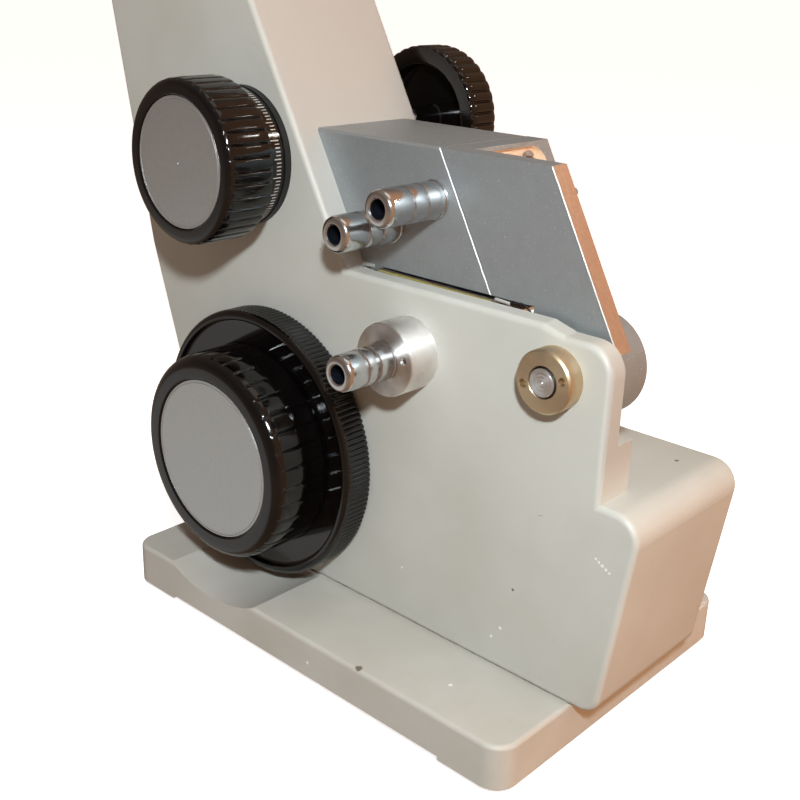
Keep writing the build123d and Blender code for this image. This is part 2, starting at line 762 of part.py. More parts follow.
adjusting_shaft = rod_y(adjust_axis, shaft_radius, shaft_end, pinion_far + 0.5)


def gear_outline(teeth, first_angle, arc_teeth, tip, root):
    """Straight-flanked teeth on a pitch circle about the origin, first tooth at first_angle."""
    pitch_radius = gear_module * teeth / 2
    pitch = 360 / teeth
    points = []
    for k in range(arc_teeth):
        middle = first_angle + k * pitch
        for radius, share in ((pitch_radius - root, -0.27), (pitch_radius + tip, -0.12),
                              (pitch_radius + tip, 0.12), (pitch_radius - root, 0.27)):
            a = radians(middle + share * pitch)
            points.append((radius * cos(a), radius * sin(a)))
    return points


gear_tip = gear_module * 0.6
gear_root = gear_module * 1.05
mesh_angle = degrees(atan(mesh_z / mesh_x)) + (180 if mesh_x < 0 else 0)
pinion_points = gear_outline(pinion_teeth, mesh_angle + 180, pinion_teeth, gear_tip, gear_root)
drive = slab(Pos(*adjust_axis) * outline(*pinion_points), pinion_near, pinion_far)
export(adjusting_shaft + drive, "adjusting_shaft")

# ---------------------------------------------------------------- scale sector and mirror
tooth_step = 360 / sector_teeth
arc_count = int(2 * sector_side / tooth_step)
first = mesh_angle - (arc_count // 2 - 0.5) * tooth_step
teeth_points = gear_outline(sector_teeth, first, 2 * (arc_count // 2), gear_tip, gear_root)
rim_radius = sector_radius - gear_root


def arc_points(radius, start, stop, count):
    angles = [start + (stop - start) * k / count for k in range(count + 1)]
    return [(radius * cos(radians(a)), radius * sin(radians(a))) for a in angles]


glass_inner = glass_radius - glass_width / 2
glass_outer = glass_radius + glass_width / 2
rim_inner = glass_inner - 2.0
tail_angle = mesh_angle - sector_tail
side_angle = mesh_angle + sector_side
tail_arc = arc_points(rim_radius, tail_angle, first - tooth_step * 0.5, 12)
inner_arc = arc_points(8.0, side_angle, tail_angle, 12)
sector_shape = outline(*(tail_arc + teeth_points + inner_arc))
window = outline(*(arc_points(glass_outer - 1.5, tail_angle + 6, mesh_angle + 6, 16)
                   + arc_points(glass_inner + 1.5, mesh_angle + 6, tail_angle + 6, 16)))
relief_hole = outline(*(arc_points(rim_inner - 1.0, tail_angle + 12, side_angle - 12, 10)
                        + arc_points(14.0, side_angle - 16, tail_angle + 16, 10)))
sector_face = sector_shape + Circle(9.0) - window - relief_hole - Circle(mirror_shaft_radius)
sector = slab(Pos(*mirror_axis) * sector_face, gear_y, gear_y + gear_thickness)
export(sector, "scale_sector")
glass_face = outline(*(arc_points(glass_outer, tail_angle + 3, mesh_angle + 9, 16)
                       + arc_points(glass_inner, mesh_angle + 9, tail_angle + 3, 16)))
glass_y = gear_y + gear_thickness
export(slab(Pos(*mirror_axis) * glass_face, glass_y, glass_y + glass_thickness), "glass_scale")
shaft_near = inside_y + 0.3
shaft_far = shell_far_y + 2.5
export(rod_y(mirror_axis, mirror_shaft_radius, shaft_near, shaft_far), "mirror_shaft")

# the mirror stands at 45 degrees between the prisms and the telescope line
mirror_frame = Plane(origin=(mirror_axis[0], 0, mirror_axis[1]), x_dir=(0, 1, 0),
                     z_dir=(out_x + up_x, 0, out_z + up_z))
holder_thickness = 2.0
holder_gap = mirror_shaft_radius + 0.4
mirror_width = 2 * mirror_half_width
holder = Box(mirror_width, mirror_length, holder_thickness)
holder = mirror_frame * Pos(0, 0, holder_gap + holder_thickness / 2) * holder
saddle_radius = mirror_shaft_radius + 2.0
saddle = ring_y(mirror_axis, saddle_radius, mirror_shaft_radius, -mirror_half_width, mirror_half_width)
export(holder + saddle - rod_y(mirror_axis, mirror_shaft_radius, -20, 20), "mirror_holder")
mirror = Box(mirror_width, mirror_length, mirror_thickness)
mirror = Pos(0, 0, holder_gap + holder_thickness + mirror_thickness / 2) * mirror
export(mirror_frame * mirror, "swing_mirror")

# ---------------------------------------------------------------- scale reading optics
read_y = gear_y - 4.0
read_tube_radius = 3.2
read_low = reading[1] + 5.0
read_length = 26.0
read_bore_radius = read_tube_radius - 0.8
read_place = (reading[0], read_y)
read_tube = upright(read_place, read_low, read_tube_radius, read_length)
bracket = Box(4.0, read_y - inside_y, read_length - 6)
bracket = Pos(reading[0], (inside_y + read_y) / 2, read_low + read_length / 2) * bracket
read_tube += bracket
read_tube -= upright(read_place, read_low - 1, read_bore_radius, read_length + 2)
export(read_tube, "reading_tube")
export(upright(read_place, read_low + read_length - 6, read_bore_radius, 2.0), "reading_lens")
mirror_side = 5.0
wedge = outline((0, 0), (mirror_side, 0), (0, mirror_side))
wedge_plane = Plane(origin=(reading[0] - mirror_side / 2, inside_y, reading[1] - mirror_side / 2),
                    x_dir=(0, 1, 0), z_dir=(1, 0, 0))
export(extrude(wedge_plane * wedge, amount=mirror_side), "scale_mirror")

seat_back = case_far_y + condenser_seat
seat = ring_y(reading, condenser_radius + 2.5, condenser_radius - 2, case_far_y, seat_back)
export(seat, "condenser_seat")
condenser_front = case_far_y + condenser_seat + part_gap
condenser_end = condenser_front + condenser_length
spigot_radius = condenser_radius - 2 - fit_gap
barrel = ring_y(reading, condenser_radius, condenser_bore, condenser_front, condenser_end)
barrel += ring_y(reading, spigot_radius, condenser_bore, shell_far_y + 0.5, condenser_front + 1)
hood_cut = outline((reading[0] - 15, reading[1] + 2), (reading[0] + 15, reading[1] + 2),
                   (reading[0] + 15, reading[1] + 15), (reading[0] - 15, reading[1] + 15))
barrel -= slab(hood_cut, condenser_front + 5, condenser_end - 2)
barrel += rod_y(reading, condenser_radius, condenser_end - 2, condenser_end)
export(barrel, "condenser_barrel")
export(rod_y(reading, condenser_bore, shell_far_y + 1.0, shell_far_y + 4.0), "condenser_lens")

# ---------------------------------------------------------------- refracting block
def block_corner(z, v):
    return along(level(z, v), v)


block_shape = outline(
    block_corner(block_top_z, front_v), block_corner(block_top_z, block_front_v),
    block_corner(block_bottom_z, block_front_v), block_corner(block_bottom_z, front_v),
)
block = slab(block_shape, block_near_y, block_far_y)
block = chamfer(block.faces().sort_by(Axis.Z)[-1].edges().filter_by(Axis.X), 0.6)
prism_shape = outline(
    along(prism_face[0], block_front_v - 0.1), along(prism_face[1], block_front_v - 0.1),
    along(prism_back[1], prism_back_v), along(prism_back[0], prism_back_v),
)
refracting_prism = slab(prism_shape, -prism_half_width, prism_half_width)
block -= refracting_prism
block -= band(*prism_face, block_front_v - 0.2, block_front_v + 1, -prism_half_width, prism_half_width)
block -= band(window_low, window_high, front_v - 1, prism_back_v + 1, -window_half, window_half)
light_window = outline((20.0, block_bottom_z - 1), (44.0, block_bottom_z - 1),
                       (44.0, 114.0), (20.0, 113.0))
block -= slab(light_window, -window_half + 0.5, window_half - 0.5)
for u, y in block_screw_places:
    block -= rod_v(u, y, small_screw_radius, front_v - 1, front_v + block_screw_reach + 0.5)


def stud_hole(axis, face_y, side):
    """Threaded hole of a nozzle, side is the way from the face into the metal."""
    near, far = sorted((face_y, face_y + side * (nozzle_thread + 0.2)))
    return rod_y(axis, nozzle_thread_radius, near - 0.001, far + 0.001)


block -= stud_hole(nozzle_a, block_near_y, 1)
block -= stud_hole(nozzle_b, block_near_y, 1)
block -= stud_hole(nozzle_d, block_far_y, -1)
# water passages: along the near side, over the prism, down the far side
jacket_near = (block_near_y + nozzle_thread - 0.4, -prism_half_width - 1.2)
riser_v = tilted(*nozzle_a)[1]
riser_u = prism_face[1] + 4.5
block -= slab(outline((nozzle_b[0], nozzle_b[1] - 2), (nozzle_b[0], nozzle_b[1] + 2),
                      (nozzle_a[0], nozzle_a[1] + 2), (nozzle_a[0], nozzle_a[1] - 2)), *jacket_near)
half_channel = channel_width / 2
block -= band(tilted(*nozzle_a)[0], riser_u, riser_v - half_channel, riser_v + half_channel, *jacket_near)
riser = along(riser_u - 0.4, riser_v)
jacket_far = (lever_y[1] + part_gap + 1.0, block_far_y - 1.0)
block -= rod_y(riser, 1.4, jacket_near[0], jacket_far[1])
block -= slab(outline((riser[0] - 2, riser[1]), (riser[0] + 2, riser[1]),
                      (nozzle_d[0] + 2, nozzle_d[1]), (nozzle_d[0] - 2, nozzle_d[1])), *jacket_far)
# slot of the lock lever
lever_slot = outline(
    along(lever_low_u, front_v - 1), along(strike_slot[0] + 0.4, block_front_v + 1),
    along(nose_high + 3.2, block_front_v + 1), along(lever_pivot[0] + 5.2, lever_pivot[1] + 4),
    along(lever_cross_u, front_v - 1),
)
block -= slab(lever_slot, *lever_room)
pivot = along(*lever_pivot)
block -= rod_y(pivot, lever_pin_radius, window_half + 0.3, block_far_y + 1)
# lugs of the reflector hinge
for near_y, far_y in ((flap_y[0], flap_y[0] + 3.0), (flap_y[1] - 3.0, flap_y[1])):
    lug = outline((flap_hinge[0] - 2.2, block_bottom_z + 0.5), (flap_hinge[0] + 2.2, block_bottom_z + 0.5),
                  (flap_hinge[0] + 1.8, flap_hinge[1] - 1.0), (flap_hinge[0] - 1.8, flap_hinge[1] - 1.0))
    block += slab(lug, near_y, far_y)
    block += rod_y((flap_hinge[0], flap_hinge[1] - 0.4), 1.9, near_y, far_y)
block -= rod_y(flap_hinge, flap_pin_radius, -30, 30)
export(block, "refracting_block")
export(refracting_prism, "refracting_prism")

pins = [
    rod_y(pivot, lever_pin_radius, window_half + 0.3, block_far_y),
    rod_y(flap_hinge, flap_pin_radius, flap_y[0] + 0.1, flap_y[1] - 0.1),
]
export(Compound(children=pins), "pivot_pins")

# ---------------------------------------------------------------- entry block
knuckle_left_x = hinge_axis[0] - knuckle_radius
slope_length = hypot(slope_x, slope_z)
tangent_x = hinge_axis[0] - slope_z / slope_length * knuckle_radius
tangent_z = hinge_axis[1] + slope_x / slope_length * knuckle_radius
tangent = (tangent_x, tangent_z)
front_top = (tangent_x + slope_x / slope_z * (block_top_z - tangent_z), block_top_z)
side_shape = outline(
    block_corner(block_top_z, entry_back_v), front_top, tangent, hinge_axis,
    (knuckle_left_x, hinge_axis[1]), (knuckle_left_x, block_bottom_z),
    block_corner(block_bottom_z, entry_back_v),
)
side_shape = side_shape + Pos(*hinge_axis) * Circle(knuckle_radius)
entry = slab(side_shape, block_near_y, block_near_y + near_wall)
plate_shape = outline(
    block_corner(block_top_z, entry_back_v), block_corner(block_top_z, entry_back_v + plate_thickness),
    block_corner(block_bottom_z, entry_back_v + plate_thickness),
    block_corner(block_bottom_z, entry_back_v),
)
entry += slab(plate_shape, block_near_y, block_far_y)
entry += rod_y(hinge_axis, knuckle_radius, block_near_y, knuckle_inner_y)
# shallow pocket on the plate's front
plate_front = entry_back_v + plate_thickness
pocket_top = block_top_z - pocket_rim
pocket_u = level(pocket_top, plate_front)
pocket_low = level(housing_top_z - 2, plate_front)
pocket_sketch = Rectangle(pocket_y[1] - pocket_y[0], pocket_u - pocket_low)
pocket_sketch = fillet(pocket_sketch.vertices().group_by(Axis.Y)[-1], pocket_corner)
pocket_middle_u = (pocket_u + pocket_low) / 2
pocket_middle_y = (pocket_y[0] + pocket_y[1]) / 2
pocket_plane = out_plane(pocket_middle_u, plate_front - pocket_depth, pocket_middle_y)
entry -= extrude(pocket_plane * pocket_sketch, amount=pocket_depth + 1)
# prism housing
box_near_y = block_near_y + near_wall - 1
box_shape = outline(
    block_corner(housing_top_z, plate_front - 2), block_corner(housing_top_z, prism_box_front),
    block_corner(housing_bottom_z, prism_box_front), block_corner(housing_bottom_z, plate_front - 2),
)
entry += slab(box_shape, box_near_y, prism_box_far_y)
inner_v = prism_box_front - prism_box_wall
chamber_back = entry_back_v + 2.9
chamber = outline(
    block_corner(housing_top_z - prism_box_wall, chamber_back),
    block_corner(housing_top_z - prism_box_wall, inner_v),
    block_corner(housing_bottom_z + prism_box_wall, inner_v),
    block_corner(housing_bottom_z + prism_box_wall, chamber_back),
)
entry_prism_shape = outline(
    along(entry_prism_face[0], entry_back_v + 0.1), along(entry_prism_face[1], entry_back_v + 0.1),
    along(entry_prism_face[1], entry_back_v + 0.8),
    along(entry_prism_face[0], entry_back_v + entry_prism_depth),
)
entry_prism = slab(entry_prism_shape, -prism_half_width, prism_half_width)
entry -= slab(chamber, -prism_half_width, prism_half_width)
entry -= entry_prism
entry -= band(*entry_prism_face, entry_back_v - 1, entry_back_v + 0.5, -prism_half_width, prism_half_width)
light_gate = (-60.0, -48.0)
entry -= band(*light_gate, inner_v - 1, prism_box_front + 1, shade_y[0] + 1.5, shade_y[1] - 1.5)
# slot for the lock nose
entry -= band(*strike_slot, entry_back_v - 1, plate_front + 1, *lever_room)
# hinge bore and pocket screws
entry -= rod_y(hinge_axis, pin_radius + fit_gap, block_near_y - 1, knuckle_inner_y + 1)
pocket_screw_u = level(pocket_screw_z, plate_front - pocket_depth)
for y in pocket_screw_y:
    entry -= rod_v(pocket_screw_u, y, 1.2, entry_back_v + 0.5, plate_front)
# ears of the shade hinge
housing_edge_u = level(housing_top_z, prism_box_front)
shade_axis = along(housing_edge_u - 1.5, prism_box_front + 0.9)
ear_y = ((shade_y[0] - 1.5, shade_y[0]), (shade_y[1], shade_y[1] + 1.5))
for near_y, far_y in ear_y:
    ear = rod_y(shade_axis, 1.1, near_y, far_y)
    ear += band(housing_edge_u - 2.6, housing_edge_u - 0.4, prism_box_front - 0.5, prism_box_front + 0.9,
                near_y, far_y)
    entry += ear - rod_y(shade_axis, 0.5 + fit_gap, near_y - 1, far_y + 1)
export(entry, "entry_block")
export(entry_prism, "entry_prism")

pocket_screws = []
for y in pocket_screw_y:
    floor_v = plate_front - pocket_depth
    screw = rod_v(pocket_screw_u, y, 1.2, entry_back_v + 0.8, floor_v)
    screw += rod_v(pocket_screw_u, y, 1.8, floor_v, floor_v + 1.1)
    slot = extrude(out_plane(pocket_screw_u, floor_v + 0.5, y) * Rectangle(5, 0.6), amount=2)
    pocket_screws.append(screw - slot)
export(Compound(children=pocket_screws), "pocket_screws")

shade_gap = 0.3
shade_u = tilted(*shade_axis)[0]
shade_low = light_gate[0] - 3.0
shade = band(shade_low, shade_u, prism_box_front + shade_gap, prism_box_front + shade_gap + shade_thickness,
             shade_y[0] + shade_gap, shade_y[1] - shade_gap)
shade += rod_y(shade_axis, 0.6, shade_y[0] + shade_gap, shade_y[1] - shade_gap)
shade += rod_y(shade_axis, 0.5, shade_y[0] - 1.4, shade_y[1] + 1.4)
export(shade, "light_shade")

# ---------------------------------------------------------------- hinge of the entry block
pin = rod_y(hinge_axis, pin_radius, pin_front, knuckle_inner_y)
pin += rod_y(hinge_axis, pin_head_radius, knuckle_inner_y + part_gap, knuckle_inner_y + part_gap + 2.0)
pin += rod_y(hinge_axis, pin_radius, knuckle_inner_y - 0.5, knuckle_inner_y + 1)
export(pin, "hinge_pin")
nut = ring_y(hinge_axis, nut_radius, pin_radius, nut_front, case_near_y)
for side in (-1, 1):
    nut -= rod_y((hinge_axis[0] + side * 5.4, hinge_axis[1]), 0.9, nut_front - 1, nut_front + 2.5)
nut_rim = nut.edges().filter_by(GeomType.CIRCLE).group_by(Axis.Y)[0].sort_by(SortBy.LENGTH)[-1:]
nut = chamfer(nut_rim, 0.5)
export(nut, "hinge_nut")
washer_near = case_near_y + cheek_thickness
export(ring_y(hinge_axis, 9.0, pin_radius, washer_near, block_near_y - part_gap), "hinge_washer")

# ---------------------------------------------------------------- hose nozzles
def nozzle(axis, face_y, length, side):
    """Ribbed hose tail standing on a face, side is the way it points along Y."""
    tip = length - 1.2
    profile = outline(
        (nozzle_bore, -nozzle_thread), (nozzle_thread_radius, -nozzle_thread), (nozzle_thread_radius, 0),
        (nozzle_radius, 0), (nozzle_radius, 0.30 * length), (nozzle_radius - 0.6, 0.33 * length),
        (nozzle_radius, 0.37 * length), (nozzle_radius, 0.55 * length),
        (nozzle_radius - 0.6, 0.58 * length), (nozzle_radius, 0.62 * length),
        (nozzle_radius, tip), (nozzle_radius - 1.2, length), (nozzle_bore, length),
    )
    solid = revolve(Plane.XZ * profile, Axis.Z)
    return Plane(origin=(axis[0], face_y, axis[1]), x_dir=(1, 0, 0), z_dir=(0, side, 0)) * solid


nozzles = [
    nozzle(nozzle_a, block_near_y, nozzle_length, -1), nozzle(nozzle_b, block_near_y, nozzle_length, -1),
    nozzle(boss_axis, boss_front, nozzle_c_length, -1),
    nozzle(nozzle_d, block_far_y, nozzle_length - 1.0, 1),
]
export(Compound(children=nozzles), "hose_nozzles")
cheek_back_y = case_near_y + cheek_thickness
stud_end = cheek_back_y + boss_nut_height
boss = rod_y(boss_axis, boss_radius, boss_front, case_near_y)
boss += rod_y(boss_axis, boss_stud_radius, case_near_y - 1, stud_end)
boss -= rod_y(boss_axis, nozzle_thread_radius, boss_front - 1, boss_front + nozzle_thread + 0.2)
boss -= rod_y(boss_axis, nozzle_bore, boss_front, stud_end + 1)
boss -= rod_y((boss_axis[0] + 6.6, boss_axis[1] - 0.5), 0.8, boss_front - 1, boss_front + 2.5)
export(boss, "nozzle_boss")
hexagon = Pos(*boss_axis) * (RegularPolygon(boss_nut_radius, 6) - Circle(boss_stud_radius))
export(slab(hexagon, cheek_back_y, stud_end), "boss_nut")

# ---------------------------------------------------------------- reflector flap
leaf_near = flap_y[0] + 3.0 + part_gap
leaf_far = flap_y[1] - 3.0 - part_gap
mirror_low = flap_top_z - flap_mirror
frame_low = mirror_low - flap_frame
leaf_start = flap_hinge[0] + 2.9
frame = slab(outline((leaf_start, frame_low), (leaf_start, mirror_low), (flap_front_x, mirror_low),
                     (flap_front_x, frame_low)), *flap_y)
frame += rod_y(flap_hinge, 1.6, leaf_near, leaf_far)
frame += slab(outline((flap_hinge[0], flap_hinge[1] - 1.6), (flap_hinge[0], flap_hinge[1] + 0.8),
                      (leaf_start, mirror_low), (leaf_start + 1, mirror_low), (leaf_start + 1, frame_low)),
              leaf_near, leaf_far)
frame -= rod_y(flap_hinge, flap_pin_radius + fit_gap, -30, 30)
export(frame, "reflector_frame")
lip_end = (flap_front_x + flap_lip, flap_top_z - flap_lip_drop)
mirror_plate = outline(
    (leaf_start, mirror_low), (leaf_start, flap_top_z), (flap_front_x, flap_top_z), lip_end,
    (lip_end[0] - 0.5, lip_end[1] - 1.0), (flap_front_x, mirror_low),
)
export(slab(mirror_plate, *flap_y), "reflector_mirror")

# ---------------------------------------------------------------- prism lock
wheel = slab(Pos(*lock_axis) * fluted(wheel_radius, flutes_small), wheel_near, wheel_far)
wheel -= rod_y(lock_axis, wheel_bore, wheel_near - 1, wheel_floor)
wheel += rod_y(lock_axis, wheel_hub, case_far_y + part_gap, wheel_floor + 0.5)
wheel -= rod_y(lock_axis, lock_shaft_radius, 0, wheel_far - 1.5)
export(wheel, "lock_wheel")
reach_x, reach_z = lock_axis[0] - pivot[0], lock_axis[1] - pivot[1]
reach = hypot(reach_x, reach_z)
arm = (reach_x / reach, reach_z / reach)
lift = (arm[1], -arm[0])
if lift[0] * out_x + lift[1] * out_z < 0:
    lift = (-lift[0], -lift[1])
diagonal = eccentric_offset * 0.70711


def from_pivot(s, n):
    """Point of the lever at rest: s along the arm to the lock shaft, n square to it towards the prisms."""
    return (pivot[0] + arm[0] * s + lift[0] * n, pivot[1] + arm[1] * s + lift[1] * n)


# at rest the eccentric stands 45 degrees past the arm, on the prism side
crank = (lock_axis[0] + diagonal * (arm[0] + lift[0]), lock_axis[1] + diagonal * (arm[1] + lift[1]))
lock_shaft = rod_y(lock_axis, lock_shaft_radius, lever_room[0] - lock_bearing + 0.2, lever_room[0])
lock_shaft += rod_y(lock_axis, lock_shaft_radius, lever_room[1], wheel_far - 1.5)
lock_shaft += rod_y(crank, eccentric_radius, lever_room[0] - 0.5, lever_room[1] + 0.5)
export(lock_shaft, "lock_shaft")
heel_top = diagonal - eccentric_radius - eccentric_gap
heel_low = heel_top - lever_bar
heel_end = reach + 2.5
lever_shape = outline(from_pivot(0, heel_low), from_pivot(0, heel_top), from_pivot(heel_end, heel_top),
                      from_pivot(heel_end, heel_low + 0.8), from_pivot(heel_end - 1.2, heel_low))
nose_v = entry_back_v + plate_thickness - pocket_depth
lever_shape += outline(
    along(lever_pivot[0] - lever_boss + 0.3, lever_pivot[1]),
    along(lever_pivot[0] + lever_boss - 0.3, lever_pivot[1]),
    along(nose_high, block_front_v - 4), along(nose_high, nose_v + part_gap),
    along(barb_high, nose_v + part_gap),
    along(barb_high, nose_end_v - 1.2), along(barb_high - 1.0, nose_end_v), along(nose_low, nose_end_v),
    along(nose_low, block_front_v - 6),
)
lever_shape += Pos(*pivot) * Circle(lever_boss)
lever = slab(lever_shape, *lever_y) - rod_y(pivot, lever_pin_radius + fit_gap, 0, 30)
export(lever, "lock_lever")
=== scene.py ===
# %% [markdown]
# A bench refractometer, dressed for a studio picture.
# The engineering model is the frame: every solid of it is already in place, in metres. Here each
# solid gets the finish of the real piece. The pieces that the eye rests on, the knobs, the hose
# tails and the turned parts, are made again as surfaces with rounder edges and finer flutes.

import bmesh
import bpy
import numpy as np
from mathutils import Matrix, Vector


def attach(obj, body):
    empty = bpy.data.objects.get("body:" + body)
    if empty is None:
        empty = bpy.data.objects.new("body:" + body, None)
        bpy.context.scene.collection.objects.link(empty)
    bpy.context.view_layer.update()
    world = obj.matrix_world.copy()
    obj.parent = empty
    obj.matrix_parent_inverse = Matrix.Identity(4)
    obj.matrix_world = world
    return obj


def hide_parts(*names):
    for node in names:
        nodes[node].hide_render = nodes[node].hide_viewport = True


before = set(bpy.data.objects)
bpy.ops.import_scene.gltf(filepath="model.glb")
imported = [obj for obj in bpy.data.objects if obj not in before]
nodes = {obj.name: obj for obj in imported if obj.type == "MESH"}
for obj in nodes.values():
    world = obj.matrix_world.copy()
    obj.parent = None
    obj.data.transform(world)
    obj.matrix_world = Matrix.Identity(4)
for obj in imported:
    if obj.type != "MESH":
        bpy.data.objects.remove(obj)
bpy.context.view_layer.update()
scene = bpy.context.scene

# %% [markdown]
# The camera stands where the photographer stood: to the right of the instrument, in front and a
# little above. Its place and lens were solved from the straight edges and circles of the picture,
# so the camera's own axes are written down as azimuth, elevation and roll.

# %% Camera
azimuth, elevation, roll = np.radians([42.21, 20.89, 1.86])
flat = np.cos(elevation)
back = np.array([np.sin(azimuth) * flat, -np.cos(azimuth) * flat, np.sin(elevation)])
level = np.cross(-back, [0, 0, 1])
level /= np.linalg.norm(level)
upright = np.cross(level, -back)
lens = bpy.data.cameras.new("camera")
lens.sensor_width = 36.0
lens.lens = 50.728
lens.clip_start = 0.01
camera = bpy.data.objects.new("camera", lens)
stand_at = np.eye(4)
stand_at[:3, 0] = np.cos(roll) * level + np.sin(roll) * upright
stand_at[:3, 1] = -np.sin(roll) * level + np.cos(roll) * upright
stand_at[:3, 2] = back
stand_at[:3, 3] = [0.20819, -0.22229, 0.17940]
camera.matrix_world = Matrix(stand_at.tolist())
scene.collection.objects.link(camera)
scene.camera = camera
scene.view_settings.view_transform = "Standard"
print("camera at", [round(x, 3) for x in stand_at[:3, 3]])

# %% [markdown]
# Colours are written as the hex values that a colour picker gives, and one function turns them
# into the linear light that the renderer counts in. One more adds a shader node with its settings
# and its links, so that a material reads as a short list. A third starts a material, and a fourth
# links what was worked out to the sockets of its shader.

# %% Colour and node helpers
def srgb(code):
    """Linear red, green, blue, alpha of a hex colour such as 'b5b4ad'."""
    c = np.array([int(code[i : i + 2], 16) for i in (0, 2, 4)]) / 255
    return tuple(np.where(c <= 0.04045, c / 12.92, ((c + 0.055) / 1.055) ** 2.4)) + (1.0,)


def add(tree, kind, links=(), give=None, **settings):
    """One shader node, given back whole or as its output give. A link is (socket, output). A
    setting is a property, or a socket's value: From_Min is a socket's name, i3 is socket 3."""
    made = tree.nodes.new("ShaderNode" + kind)
    for key, value in settings.items():
        name = key.replace("_", " ")
        if hasattr(made, key):
            setattr(made, key, value)
        elif name in made.inputs:
            made.inputs[name].default_value = value
        else:
            made.inputs[int(key[1:])].default_value = value
    for socket, source in links:
        tree.links.new(source, made.inputs[socket])
    return made if give is None else made.outputs[give]


def finish(name, colour, metallic=0.0, roughness=0.5, **more):
    """A new material, its node tree, its shader, and the output with the piece's own place in metres."""
    made = bpy.data.materials.new(name)
    made.use_nodes = True
    tree = made.node_tree
    shader = tree.nodes["Principled BSDF"]
    shader.inputs["Base Color"].default_value = srgb(colour)
    shader.inputs["Metallic"].default_value = metallic
    shader.inputs["Roughness"].default_value = roughness
    for key, value in more.items():
        shader.inputs[key.replace("_", " ")].default_value = value
    return made, tree, shader, add(tree, "TexCoord", give="Object")


def feed(tree, shader, **sources):
    """Links outputs to the shader's sockets, by name: Base_Color=tone."""
    for key, source in sources.items():
        tree.links.new(source, shader.inputs[key.replace("_", " ")])


# %% [markdown]
# The floor is a sweep of pale paper: a disc that curves up into a wall, so that no edge shows. It
# is one grid, a profile of reach and rise carried round the middle. It glows a little, because the
# picture's ground is plain white, but it neither lights the object nor shows in its metal.

# %% Floor
sweep, sweep_tree, sweep_shader, at = finish("pale_paper_sweep", "f7f7f6", roughness=0.95)
fibre = add(sweep_tree, "TexNoise", [("Vector", at)], "Fac", Scale=90.0)
bump = add(sweep_tree, "Bump", [("Height", fibre)], 0, Strength=0.05, Distance=0.001)
feed(sweep_tree, sweep_shader, Normal=bump)
sweep_shader.inputs["Emission Color"].default_value = (0.95, 0.98, 1.0, 1.0)
sweep_shader.inputs["Emission Strength"].default_value = 0.8
spokes = 96
bend = np.linspace(0, np.pi / 2, 13)
reach = np.concatenate([[0.0, 0.5, 1.5], 2.5 + 1.5 * np.sin(bend), [4.0]])
rise = np.concatenate([[0.0, 0.0, 0.0], 1.5 - 1.5 * np.cos(bend), [4.0]])
way = np.linspace(0, 2 * np.pi, spokes, endpoint=False)
bowl = np.stack([reach[:, None] * np.cos(way), reach[:, None] * np.sin(way), rise[:, None] + 0 * way], -1)
grid = np.arange(len(reach) * spokes).reshape(-1, spokes)
beside = np.roll(grid, -1, 1)
walls = np.stack([grid[:-1], beside[:-1], beside[1:], grid[1:]], -1).reshape(-1, 4)
ground = bpy.data.meshes.new("floor")
ground.from_pydata(bowl.reshape(-1, 3), [], walls.tolist())
ground.shade_smooth()
ground.materials.append(sweep)
floor = bpy.data.objects.new("floor", ground)
floor.visible_diffuse = floor.visible_glossy = False
scene.collection.objects.link(floor)
print("floor", len(ground.polygons), "faces")

# %% [markdown]
# The light is fitted to the picture. A small cool flash above the camera throws the short shadows
# under the knobs. A wide warm panel on the right, behind, makes the front faces tan. One small
# bright lamp there gives the glints on the flutes, and a soft ceiling fills the rest.

# %% Lamps
def lamp(name, where, aim, size, radiance, colour, mirrored=True):
    """A square soft light at where that looks at aim; radiance is how bright its face is. One that
    is not mirrored lights the object but is not seen in its polished surfaces."""
    light = bpy.data.lights.new(name, "AREA")
    light.size, light.energy, light.color = size, radiance * np.pi * size**2, colour
    made = bpy.data.objects.new(name, light)
    made.location = where
    made.rotation_mode = "QUATERNION"
    made.rotation_quaternion = (Vector(aim) - Vector(where)).to_track_quat("-Z", "Y")
    made.visible_glossy = mirrored
    scene.collection.objects.link(made)


lamp("flash", (0.27, -0.27, 0.31), (0, -0.02, 0.11), 0.03, 790, (0.86, 0.95, 1.0))
lamp("warm_panel", (1.12, 0.56, 0.12), (0, 0, 0.10), 1.2, 1.4, (1.0, 0.46, 0.19), mirrored=False)
lamp("small_lamp", (0.59, 0.63, 0.63), (0, 0, 0.12), 0.04, 70, (1.0, 0.97, 0.93))
lamp("ceiling", (0.25, 0.1, 1.6), (0, 0, 0.1), 1.0, 0.75, (1.0, 0.93, 0.84))

# %% [markdown]
# Polished metal shows the room. Its shades run from the floor up to the ceiling, and two patches
# are laid over them: a warm wall on the right, and a pale one at the left, low, which is where the
# knobs' caps look.

# %% Room
room = bpy.data.worlds.new("room")
room.use_nodes = True
sky = room.node_tree
looking = add(sky, "TexCoord", give="Generated")
height = add(sky, "SeparateXYZ", [(0, looking)], "Z")
share = add(sky, "MapRange", [("Value", height)], 0, From_Min=-1.0)
shades = add(sky, "ValToRGB", [("Fac", share)])
bands = [(0.0, (0.26, 0.17, 0.11)), (0.30, (0.36, 0.25, 0.17)), (0.38, (0.31, 0.22, 0.16)),
         (0.44, (0.24, 0.18, 0.15)), (0.70, (0.17, 0.12, 0.09)), (1.0, (0.30, 0.25, 0.21))]
ramp = shades.color_ramp
for band, (level, shade) in enumerate(bands):
    stop = ramp.elements[band] if band < 2 else ramp.elements.new(level)
    stop.position, stop.color = level, (*shade, 1)
view = shades.outputs[0]
patches = [((0.86, 0.51, 0.0), 0.0, 0.62, (0.58, 0.31, 0.17, 1)),
           ((-0.68, -0.50, -0.54), 0.905, 0.985, (0.66, 0.64, 0.61, 1))]
